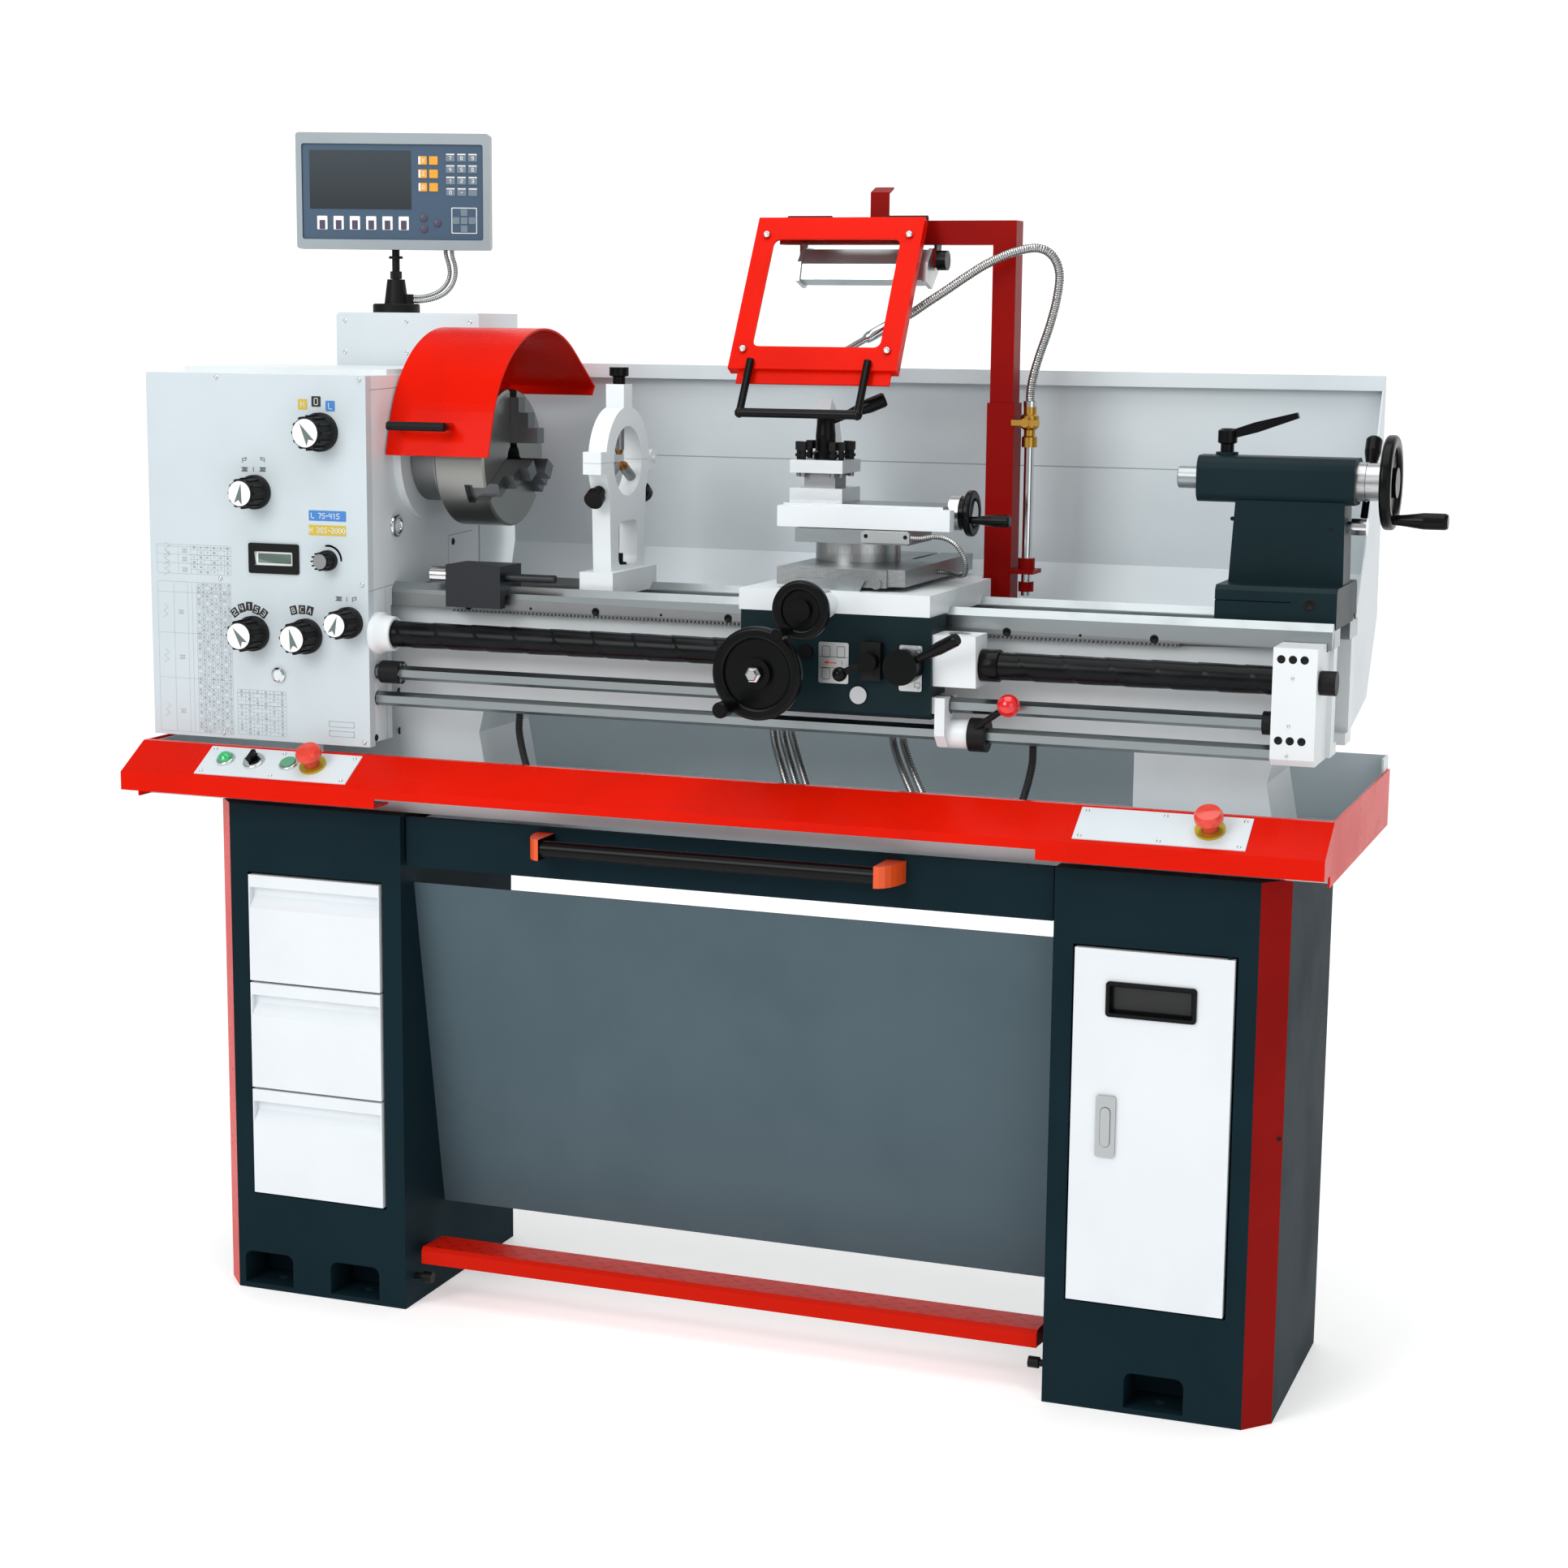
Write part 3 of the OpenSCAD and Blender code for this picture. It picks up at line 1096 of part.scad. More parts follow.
// Square four way tool post with its clamp screws
post_core = 46;
tool_slot = [top_top + 20, top_top + 41];
tool_top = tool_slot[1] + 18;
module tool_post() translate([tool_post_x, tool_post_y, 0]) {
  h = tool_post_side / 2;
  color("#8b8e90") difference() {
    union() {
      block([-h, -h, top_top + gap / 2], [h, h, tool_slot[0]]);
      block([-post_core / 2, -post_core / 2, tool_slot[0] - 1], [post_core / 2, post_core / 2, tool_slot[1] + 1]);
      block([-h, -h, tool_slot[1]], [h, h, tool_top]);
    }
    bar_z(tool_top - 30, tool_top + 1, 16 + 2 * gap, 0, 0);
  }
  color(black) for (k = [0:3], s = [-1, 1])
    rotate(90 * k) translate([s * h * 0.72 - (s > 0 ? 6 : -6), -h + 8, 0]) {
      bar_z(tool_slot[1] - 6, tool_top + 14, 8, 0, 0);
      bar_z(tool_top + 4, tool_top + 8, 12, 0, 0);
      translate([-4.5, -4.5, tool_top + 13]) cube([9, 9, 12]);
    }
}
module tool_post_lever() translate([tool_post_x, tool_post_y, 0]) color(black) {
  turned_z([0, 0, tool_top])
    polygon([[0, -28], [8, -28], [8, gap], [17, gap], [17, 10], [14, 12], [14, 34], [12, 58], [9, 62],
             [0, 62]]);
  translate([0, 0, tool_top + 50]) rotate([-20, 66, 0]) {
    cylinder(h = 30, d = 11);
    translate([0, 0, 28]) rotate_extrude() handle_outline(62, 21);
  }
}
module scale_cable() color("#b9bcbe") swept_tube(scale_route, 7);

// Tool shield on a sliding mast
post_wall = (post_side - mast_side) / 2 - gap;
module square_bar(at, side, z0, z1)
  block([at[0] - side / 2, at[1] - side / 2, z0], [at[0] + side / 2, at[1] + side / 2, z1]);
module shield_post() color(red) {
  difference() {
    square_bar(post_xy, post_side, way_z - 24, post_top);
    square_bar(post_xy, post_side - 2 * post_wall, way_z + 10, post_top + 1);
  }
  difference() {
    block([post_xy[0] + post_side / 2 - 1, post_xy[1] - 22, way_z + 28],
          [pipe_xy[0] + 16, post_xy[1] + 22, way_z + 34]);
    bar_z(way_z + 20, way_z + 40, 14, pipe_xy[0], pipe_xy[1]);
  }
  difference() {
    bar_z(way_z + 33, way_z + 50, 24, pipe_xy[0], pipe_xy[1]);
    bar_z(way_z + 20, way_z + 60, 14, pipe_xy[0], pipe_xy[1]);
  }
  color(chrome) {
    bar_z(way_z - 4, valve_z, 14, pipe_xy[0], pipe_xy[1]);
    bar_z(way_z + 2, way_z + 16, 22, pipe_xy[0], pipe_xy[1]);
  }
  color(brass_tint) {
    turned_z([pipe_xy[0], pipe_xy[1], valve_z - 4])
      polygon([[0, 0], [11, 0], [11, 14], [8, 16], [8, 24], [13, 28], [13, 44], [9, 47], [9, 58], [0, 58]]);
    bar_y(pipe_xy[1] - 20, pipe_xy[1], 12, pipe_xy[0], valve_z + 31);
  }
  color(chrome) bar_z(valve_z + 53, valve_z + 61, 19, pipe_xy[0], pipe_xy[1]);
}
module coolant_tap() color(brass_tint) {
  y = pipe_xy[1] - 20 - gap;
  bar_y(y - 8, y, 13, pipe_xy[0], valve_z + 31);
  translate([pipe_xy[0] - 20, y - 7, valve_z + 27]) cube([40, 5, 8]);
}

beam_z = mast_top - mast_side;
lamp_pivot = [shield_hinge[0] + 12, beam_z - 22];
lamp_x = [shield_x0 + 62, shield_x0 + 258];
hinge_x = [shield_x0 + 72, shield_x0 + 216];
module shield_mast() color(red) {
  square_bar(post_xy, mast_side, post_top - 200, mast_top);
  block([shield_x0 + 20, post_xy[1] - mast_side / 2, beam_z], [post_xy[0], post_xy[1] + mast_side / 2, mast_top]);
  along_x(shield_x0 + 156, shield_x0 + 184)
    polygon([[post_xy[1] - 12, mast_top - 1], [post_xy[1] - 12, mast_top + 40], [post_xy[1] + 10, mast_top + 48],
             [post_xy[1] + 10, mast_top + 45], [post_xy[1] - 9, mast_top + 38], [post_xy[1] - 9, mast_top - 1]]);
  color(black) for (x = hinge_x) {
    block([x - 20, shield_hinge[0], mast_top], [x + 20, post_xy[1] + 4, mast_top + 3]);
    bar_x(x - 20, x + 20, 9, shield_hinge[0], shield_hinge[1]);
    bar_x(x - 34, x + 34, 4, shield_hinge[0], shield_hinge[1]);
  }
  for (x = [lamp_x[0] - 5, lamp_x[1] + 1])
    block([x, lamp_pivot[0] - 12, lamp_pivot[1] - 10], [x + 4, post_xy[1] - 10, beam_z + 1]);
  color(black) {
    bar_x(lamp_x[0] - 3, lamp_x[0] + 10, 8, lamp_pivot[0], lamp_pivot[1]);
    bar_x(lamp_x[1] - 10, lamp_x[1] + 3, 8, lamp_pivot[0], lamp_pivot[1]);
    bar_x(lamp_x[1] + 4, lamp_x[1] + 18, 28, lamp_pivot[0], lamp_pivot[1]);
  }
}

// Shield pieces are drawn upright below the hinge and then leaned
module lean() translate([0, shield_hinge[0], shield_hinge[1]]) rotate([-shield_lean, 0, 0]) children();
shield_x1 = shield_x0 + shield_w;
pane_x = [shield_x0 + 30, shield_x1 - 30];
pane_z = [-shield_l + 36, -42];
frame_y = -14;
pull_x = [shield_x0 + 34, shield_x0 + 208];
pull_drop = 72;
module shield_frame() color(red) {
  lean() {
    difference() {
      block([shield_x0, frame_y, -shield_l], [shield_x1, frame_y + 16, -6]);
      block([shield_x0 + 3, frame_y + 3, -shield_l + 3], [shield_x1 - 3, frame_y + 17, -9]);
      along_y(frame_y - 1, frame_y + 4) round_rect([pane_x[0], pane_z[0]], [pane_x[1], pane_z[1]], 10);
    }
    block([shield_x0 + 14, frame_y + 6, -shield_l - 20], [shield_x1 - 8, frame_y + 9, -shield_l + 4]);
  }
  color(black) for (x = hinge_x, s = [-1, 1])
    difference() {
      union() {
        bar_x(x + s * 27 - 6, x + s * 27 + 6, 9, shield_hinge[0], shield_hinge[1]);
        lean() block([x + s * 27 - 5, frame_y + 4, -8], [x + s * 27 + 5, 1, -3.2]);
      }
      bar_x(x + s * 27 - 7, x + s * 27 + 7, 4 + 2 * gap, shield_hinge[0], shield_hinge[1]);
    }
  color(black) lean() {
    for (x = pull_x) {
      bar_z(-shield_l - pull_drop, -shield_l + 12, 11, x, frame_y - 4);
      turned_z([x, frame_y - 4, -shield_l - pull_drop])
        polygon([[0, -7], [3, -7], [6, -4.5], [7.2, 0], [6, 4.5], [0, 4.5]]);
    }
    bar_x(pull_x[0], pull_x[1], 13, frame_y - 4, -shield_l - pull_drop);
  }
}
module shield_window() color([0.8, 0.9, 0.95, 0.35])
  lean() block([pane_x[0] - 14, frame_y + 3, pane_z[0] - 14], [pane_x[1] + 14, frame_y + 6, pane_z[1] + 14]);

module work_lamp() color("#c3c6c8") difference() {
  p = lamp_pivot;
  union() {
    along_x(lamp_x[0] + 4, lamp_x[1] - 4)
      polygon([p + [-40, -28], p + [-34, -6], p + [-12, 15], p + [14, 15], p + [14, -10], p + [-14, -36]]);
    for (x = [lamp_x[0], lamp_x[1] - 6])
      along_x(x, x + 6)
        polygon([p + [-44, -30], p + [-36, -3], p + [-14, 17], p + [16, 17], p + [16, -14], p + [-14, -40]]);
  }
  for (x = [lamp_x[0] - 1, lamp_x[1] - 11]) bar_x(x, x + 12, 8 + 2 * gap, p[0], p[1]);
}

module coolant_hose() color("#b9bcbe") {
  swept_tube(coolant_route, 13, 10);
  swept_tube(nozzle_route, 16, 12);
  swept_tube(tip_route, 10, 12);
}

// Tailstock

tail_base_top = way_z + 44;
tail_split = way_z + 25;
barrel_z = [axis_z - barrel_d / 2 - 3, axis_z + barrel_d / 2 + 3];
barrel_y = [spindle_y - 34, spindle_y + 34];
clamp_at = [spindle_y + 12, axis_z - 60];
module tailstock() color(slate) difference() {
  union() {
    difference() {
      along_x(tail_x0, tail_x1)
        polygon(concat(
          [[bed_y0 + 20, way_z - 4], [bed_y0 + 20, tail_base_top - 6], [bed_y0 + 26, tail_base_top],
           [spindle_y + 74, tail_base_top], [spindle_y + 80, tail_base_top - 6], [spindle_y + 80, way_z - 4]],
          [for (i = [7:-1:2]) [spindle_y, way_z] + way_line(gap)[i]]));
      block([tail_x0 - 1, bed_y0 + 10, tail_split - 1.5], [tail_x1 - 60, bed_y0 + 24, tail_split]);
    }
    along_y(spindle_y - 29, spindle_y + 29)
      polygon([[tail_x0 + 6, tail_base_top - 1], [tail_x0 + 12, barrel_z[0] + 4], [tail_x1 - 4, barrel_z[0] + 4],
               [tail_x1 - 2, tail_base_top - 1]]);
    along_x(barrel_x0, barrel_x0 + barrel_l)
      round_rect([barrel_y[0], barrel_z[0]], [barrel_y[1], barrel_z[1]], 18);
    color(steel) bar_x(barrel_x0 + barrel_l - 1, barrel_x0 + barrel_l + 12, 52, spindle_y, axis_z);
    bar_z(barrel_z[1] - 1, barrel_z[1] + 4, 30, barrel_x0 + 34, spindle_y);
  }
  bar_x(barrel_x0 - 1, barrel_x0 + 150, quill_d + 2 * gap, spindle_y, axis_z);
  bar_x(barrel_x0 + 100, barrel_x0 + barrel_l + 20, 16 + 2 * gap, spindle_y, axis_z);
  bar_z(barrel_z[1] - 20, barrel_z[1] + 5, 12 + 2 * gap, barrel_x0 + 34, spindle_y);
  bar_x(tail_x1 - 30, tail_x1 + 1, 14 + 2 * gap, clamp_at[0], clamp_at[1]);
}
module quill() color(steel) turned_x([quill_x0, spindle_y, axis_z])
  polygon([[9, 0], [quill_d / 2 - 1, 0], [quill_d / 2, 1], [quill_d / 2, 150], [0, 150], [0, 90], [7.5, 70]]);
module tailstock_handwheel() {
  x = tail_wheel_x;
  color(black) {
    turned_x([x, spindle_y, axis_z]) wheel_outline(tail_wheel_d, 17, 40, 24, 0);
    turned_x([x + 8, spindle_y - 16, axis_z - 48]) handle_outline(78, 22);
  }
  color(steel) {
    bar_x(barrel_x0 + barrel_l + 12 + gap, x + 4, 50, spindle_y, axis_z);
    bar_x(barrel_x0 + 160, x, 16, spindle_y, axis_z);
  }
}
module quill_lock() color(black) {
  turned_z([barrel_x0 + 34, spindle_y, barrel_z[1] + 4 + gap])
    polygon([[0, -20], [6, -20], [6, 0], [9, 0], [9, 10], [13, 12], [13, 28], [8, 31], [0, 31]]);
  translate([barrel_x0 + 34, spindle_y, barrel_z[1] + 26]) rotate([0, 72, 0]) rotate([90, 0, 0])
    linear_extrude(10, center = true) polygon([[-5, 0], [6, 0], [8, 40], [6, 98], [-2, 98], [-6, 40]]);
}
module tailstock_clamp() {
  x = tail_x1 + gap;
  color(black) {
    bar_x(x, x + 20, 24, clamp_at[0], clamp_at[1]);
    bar_x(x - 28, x + 1, 14, clamp_at[0], clamp_at[1]);
  }
  translate([x + 14, clamp_at[0], clamp_at[1]]) rotate([-32, 0, 0]) {
    color(chrome) cylinder(h = 86, d = 10);
    color(black) translate([0, 0, 82]) rotate_extrude() handle_outline(52, 22);
  }
}

// Steady rest: lower half with two fingers and upper half with one

steady_t = 28;
steady_hinge = [spindle_y + steady_r + 16, axis_z];
module steady_ring(upper) difference() {
  union() {
    intersection() {
      circle(steady_r);
      translate([-200, upper ? gap / 2 : -400 - gap / 2]) square([400, 400]);
    }
    for (s = [-1, 1])
      translate([s > 0 ? steady_r - 8 : -steady_r - 18, upper ? gap / 2 : -16]) square([26, 16 - gap / 2]);
  }
  circle(steady_bore);
}
// Adjusting finger with its knob, drawn along +Z from the middle of the ring
module finger() {
  color("#8b8e90") bar_z(16, steady_r + 6, 15, 0, 0);
  color(brass_tint) turned_z([0, 0, 0]) polygon([[0, 9], [4, 9], [7, 16.5], [0, 16.5]]);
}
module finger_knob(z) color(black) turned_z([0, 0, z])
  polygon([[0, -1], [9, -1], [9, 10], [14, 12], [14, 24], [0, 24]]);
module at_steady(turn) translate([steady_x, spindle_y, axis_z]) rotate([turn, 0, 0]) children();
steady_leg = [spindle_y - 60, spindle_y + 60];
module steady_base() color(cream) {
  difference() {
    union() {
      along_x(steady_x - steady_t / 2, steady_x + steady_t / 2) {
        translate([spindle_y, axis_z]) steady_ring(false);
        difference() {
          polygon([[spindle_y - 66, axis_z - 30], [spindle_y + 66, axis_z - 30], [steady_leg[1], way_z + 10],
                   [steady_leg[0], way_z + 10]]);
          translate([spindle_y, axis_z]) circle(steady_bore);
          round_rect([spindle_y - 34, way_z + 30], [spindle_y + 34, axis_z - steady_r - 8], 12);
        }
      }
      along_x(steady_x - 26, steady_x + 26)
        polygon(concat(
          [[bed_y0 + 22, way_z - 6], [bed_y0 + 22, way_z + 24], [spindle_y + 79, way_z + 24],
           [spindle_y + 79, way_z - 6]],
          [for (i = [7:-1:2]) [spindle_y, way_z] + way_line(gap)[i]]));
    }
    block([steady_x - 5, steady_hinge[0] - 14, axis_z - 30], [steady_x + 5, steady_hinge[0] + 14, axis_z + 5]);
  }
  for (a = [120, -120]) at_steady(a) {
    finger();
    finger_knob(steady_r + 4);
  }
  difference() {
    for (x = [steady_x - steady_t / 2, steady_x + 5.5])
      along_x(x, x + steady_t / 2 - 5.5) translate(steady_hinge) circle(d = 26);
    block([steady_x - 30, spindle_y - 200, axis_z - gap / 2], [steady_x + 30, steady_hinge[0] - 14, axis_z + 40]);
  }
  color(black) {
    bar_x(steady_x - steady_t / 2 - 3, steady_x + steady_t / 2 + 3, 7, steady_hinge[0], steady_hinge[1]);
    bar_z(way_z + 23, way_z + 46, 12, steady_x, spindle_y);
    translate([steady_x, spindle_y, way_z + 23]) cylinder(h = 10, d = 24, $fn = 6);
  }
}
module steady_top() color(cream) {
  difference() {
    union() {
      along_x(steady_x - steady_t / 2, steady_x + steady_t / 2) {
        translate([spindle_y, axis_z]) difference() {
          steady_ring(true);
          translate([steady_r + 1, -1]) square([40, 40]);
        }
        translate([spindle_y - 15, axis_z + steady_r - 8]) square([30, 40]);
      }
      along_x(steady_x - 4.6, steady_x + 4.6) {
        translate(steady_hinge) circle(d = 25);
        translate([spindle_y + steady_r - 12, axis_z + 4]) square([24, 14]);
      }
    }
    bar_x(steady_x - 20, steady_x + 20, 7 + 2 * gap, steady_hinge[0], steady_hinge[1]);
  }
  at_steady(0) {
    finger();
    finger_knob(steady_r + 32);
  }
}

// Carriage stop clamped on the front way
stop_x = [-409, -322];
module carriage_stop() color("#3b3e41") {
  difference() {
    block([stop_x[0], bed_y0 - 26, way_z - 30], [stop_x[1], bed_y0 + 44, way_z + 31]);
    along_x(stop_x[0] - 1, stop_x[1] + 1) translate([spindle_y, way_z])
      polygon(concat([[-half_bed - gap, -60]], [for (i = [0:3]) way_line(gap)[i] + [i == 0 ? -gap : 0, 0]],
                     [[-39, -60]]));
    block([stop_x[0] - 1, bed_y0 - 10, way_z - 40], [stop_x[1] + 1, bed_y0 + 50, way_z - 12]);
  }
  color(chrome) bar_x(stop_x[0] - 30, stop_x[0] + 1, 25, bed_y0 - 6, way_z + 14);
  bar_x(stop_x[1] - 1, stop_x[1] + 78, 12, bed_y0 - 6, way_z + 14);
}

module drawer_1() color(cream) drawer(front_z + 2 * drawer_pitch);
module drawer_2() color(cream) drawer(front_z + drawer_pitch);
module drawer_3() color(cream) drawer(front_z);

left_cabinet();
right_cabinet();
back_panel();
chip_pan();
console();
splash_guard();
bed();
headstock();
headstock_cover();
electrics_box();
rod_bracket();
cables();
spindle();
jaw_1();
jaw_2();
jaw_3();
chuck_guard();
start_button();
stop_button_left();
stop_button_right();
lead_screw();
feed_rod();
control_rod();
screw_covers();
saddle();
apron();
apron_handwheel();
half_nut_lever();
feed_lever();
control_lever();
cross_slide();
cross_handwheel();
compound_base();
top_slide();
compound_handwheel();
tool_post();
tool_post_lever();
scale_cable();
shield_post();
shield_mast();
shield_frame();
shield_window();
work_lamp();
coolant_tap();
coolant_hose();
tailstock();
quill();
tailstock_handwheel();
quill_lock();
tailstock_clamp();
steady_base();
steady_top();
carriage_stop();
display();
drawer_1();
drawer_2();
drawer_3();
chip_drawer();
door();
foot_pedal();
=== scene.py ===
"""Looks of a centre lathe: materials, printed plates, hoses, screws, stage and camera round its CAD frame.

Lengths in this file are millimetres in the row frame (+X along the bed, +Y to the back, +Z up) and are
turned into metres where a mesh is made.
"""

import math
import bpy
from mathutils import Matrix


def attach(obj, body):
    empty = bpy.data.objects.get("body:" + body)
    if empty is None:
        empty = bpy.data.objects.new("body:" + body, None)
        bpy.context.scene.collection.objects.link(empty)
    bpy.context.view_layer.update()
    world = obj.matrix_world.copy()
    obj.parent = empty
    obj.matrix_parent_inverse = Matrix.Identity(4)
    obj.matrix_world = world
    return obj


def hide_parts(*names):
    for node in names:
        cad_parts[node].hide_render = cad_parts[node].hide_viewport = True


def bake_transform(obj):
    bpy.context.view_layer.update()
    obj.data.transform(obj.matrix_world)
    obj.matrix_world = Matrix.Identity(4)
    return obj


bl_info = {
    "name": "Centre lathe looks",
    "version": (1, 0, 0),
    "blender": (4, 5, 0),
    "location": "View3D > Sidebar > Lathe",
    "description": "Dresses the CAD frame of a centre lathe with surfaces, materials and a studio stage",
    "category": "Object",
}

import bpy
import numpy as np
from mathutils import Matrix

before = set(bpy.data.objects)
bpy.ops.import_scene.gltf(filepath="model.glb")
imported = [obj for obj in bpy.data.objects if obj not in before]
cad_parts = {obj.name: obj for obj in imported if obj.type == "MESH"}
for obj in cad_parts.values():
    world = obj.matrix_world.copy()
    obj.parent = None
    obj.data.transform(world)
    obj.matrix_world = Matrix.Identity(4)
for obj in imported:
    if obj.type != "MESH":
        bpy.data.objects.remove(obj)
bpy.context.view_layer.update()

MM = 0.001
AXIS = (20.0, 1253.0)
COVER_Y = -156.0
SLOPE = math.atan(39 / 64)
LEAN = math.radians(30)
TURN = math.radians(20)
X_AXIS, Y_AXIS, Z_AXIS = np.eye(3)
HEAD_SIDE = -510.0
ROD_Y = -130.0
LEAD_Z = 1002.0
GUARD_PIN = (HEAD_SIDE, 170, 1330)
SHIELD_HINGE = np.array([0, 132, 1600.0])
STEADY_X = -193
STEM = (-696, 290)


# Shader maths

class Value:
    """One output socket of a material's node tree; arithmetic on it adds Math nodes."""

    def __init__(self, tree, socket):
        self.tree, self.socket = tree, socket

    def node(self, kind, *inputs, out=0, **settings):
        """Adds a node of any kind, feeds its inputs in order and returns one of its outputs."""
        made = self.tree.nodes.new(kind)
        for key, value in settings.items():
            setattr(made, key, value)
        for target, value in zip(made.inputs, inputs):
            if isinstance(value, Value):
                self.tree.links.new(value.socket, target)
            elif value is not None:
                target.default_value = value
        return Value(self.tree, made.outputs[out])

    def math(self, operation, *others):
        return self.node("ShaderNodeMath", self, *others, operation=operation)

    def __add__(self, other):
        return self.math("ADD", other)

    def __sub__(self, other):
        return self.math("SUBTRACT", other)

    def __mul__(self, other):
        return self.math("MULTIPLY", other)

    def __truediv__(self, other):
        return self.math("DIVIDE", other)

    __radd__ = __add__
    __rmul__ = __mul__

    def __rsub__(self, other):
        return self.node("ShaderNodeMath", other, self, operation="SUBTRACT")

    def __rtruediv__(self, other):
        return self.node("ShaderNodeMath", other, self, operation="DIVIDE")

    def __lt__(self, other):
        return self.math("LESS_THAN", other)

    def __gt__(self, other):
        return self.math("GREATER_THAN", other)

    def frac(self):
        return self.math("FRACT")

    def smooth(self, low, high):
        """0 below low, 1 above high, eased in between."""
        return self.node("ShaderNodeMapRange", self, low, high, 0.0, 1.0, interpolation_type="SMOOTHSTEP")

    def mix(self, first, second):
        """first where this is 0, second where it is 1; colours, as hex codes too, or numbers."""
        first, second = (rgb(v) if isinstance(v, str) else v for v in (first, second))
        if isinstance(first, tuple) or isinstance(second, tuple):
            made = self.node("ShaderNodeMix", data_type="RGBA", out=2)
            node = made.socket.node
            for target, value in ((node.inputs[0], self), (node.inputs[6], first), (node.inputs[7], second)):
                if isinstance(value, Value):
                    self.tree.links.new(value.socket, target)
                else:
                    target.default_value = value
            return made
        return first + self * (second - first)


class Paint:
    """A Principled material under construction."""

    made = {}

    def __init__(self, name, colour, rough, metal=0.0, **constants):
        self.material = bpy.data.materials.new(name)
        self.material.use_nodes = True
        self.tree = self.material.node_tree
        self.shader = self.tree.nodes["Principled BSDF"]
        self.set("Base Color", colour)
        self.set("Roughness", rough)
        self.set("Metallic", metal)
        for key, value in constants.items():
            self.set(key.replace("_", " "), value)
        self.root = Value(self.tree, self.tree.nodes.new("ShaderNodeTexCoord").outputs["Object"])

    def set(self, socket, value):
        target = self.shader.inputs[socket]
        if isinstance(value, Value):
            self.tree.links.new(value.socket, target)
        else:
            target.default_value = rgb(value) if isinstance(value, str) else value

    def xyz(self):
        """Object coordinates in millimetres, as three numbers."""
        node = self.root.node("ShaderNodeSeparateXYZ", self.root).socket.node
        return [Value(self.tree, node.outputs[i]) * 1000.0 for i in range(3)]

    def noise(self, size, stretch=(1, 1, 1), detail=3.0, vector=None):
        """Noise with features of about size mm, drawn out along the axes by stretch."""
        scale = tuple(1000.0 / (size * s) for s in stretch)
        place = self.root.node("ShaderNodeVectorMath", vector or self.root, scale, operation="MULTIPLY")
        return self.root.node("ShaderNodeTexNoise", place, None, 1.0, detail, 0.55)

    def bump(self, height, depth):
        """Lets a height of 0 to 1 stand out of the surface by depth mm."""
        self.set("Normal", self.root.node("ShaderNodeBump", 1.0, depth * MM, None, height))


def rgb(text):
    """Linear colour of a hex code, with full alpha."""
    parts = [int(text[i:i + 2], 16) / 255 for i in (0, 2, 4)]
    return (*(p / 12.92 if p <= 0.04045 else ((p + 0.055) / 1.055) ** 2.4 for p in parts), 1.0)


def dusty(paint, colour, darker, amount=0.5):
    """Gives a paint slow tone changes: handled and wiped spots a little darker than the rest."""
    tone = paint.noise(160, detail=4.0).smooth(0.35, 0.75)
    paint.set("Base Color", (tone * amount).mix(colour, darker))
    return tone


def material(name):
    """The finished material of that name, made on first use."""
    if name not in Paint.made:
        Paint.made[name] = RECIPES[name](name).material
    return Paint.made[name]


def powder(colour, darker, rough=0.36, grain=1.6, depth=0.05, coat=0.0, shine=0.5):
    """Powder coat: orange peel bump, slow tone and gloss changes."""
    def recipe(name):
        paint = Paint(name, colour, rough, Coat_Weight=coat, Coat_Roughness=0.12, Specular_IOR_Level=shine)
        tone = dusty(paint, colour, darker)
        paint.set("Roughness", rough + tone * 0.07)
        paint.bump(paint.noise(grain, detail=2.0), depth)
        return paint
    return recipe


def plain(colour, rough, metal=0.0, **constants):
    """One colour with a faint change of gloss."""
    def recipe(name):
        paint = Paint(name, colour, rough, metal, **constants)
        paint.set("Roughness", rough + paint.noise(25) * 0.1 - 0.05)
        return paint
    return recipe


def ground(colour, rough, stretch, size=0.7, depth=0.01):
    """Ground metal: grain drawn out along one direction."""
    def recipe(name):
        paint = Paint(name, colour, rough, 1.0)
        grain = paint.noise(size, stretch)
        stain = paint.noise(60, detail=5.0).smooth(0.45, 0.8)
        paint.set("Roughness", rough + grain * 0.16 - 0.08 + stain * 0.08)
        paint.set("Base Color", (stain * 0.35).mix(colour, (*[c * 0.72 for c in rgb(colour)[:3]], 1.0)))
        paint.bump(grain, depth)
        return paint
    return recipe


def turned_metal(colour, rough, centre):
    """Turned metal: fine rings round a line along X through centre (Y, Z)."""
    def recipe(name):
        paint = Paint(name, colour, rough, 1.0)
        x, y, z = paint.xyz()
        y, z = y - centre[0], z - centre[1]
        radius = (y * y + z * z).math("SQRT")
        place = paint.root.node("ShaderNodeCombineXYZ", radius, x, 0.0)
        rings = paint.root.node("ShaderNodeTexNoise", place, None, 1.1, 2.0, 0.5)
        paint.set("Roughness", rough + rings * 0.2 - 0.1)
        paint.bump(rings, 0.02)
        return paint
    return recipe


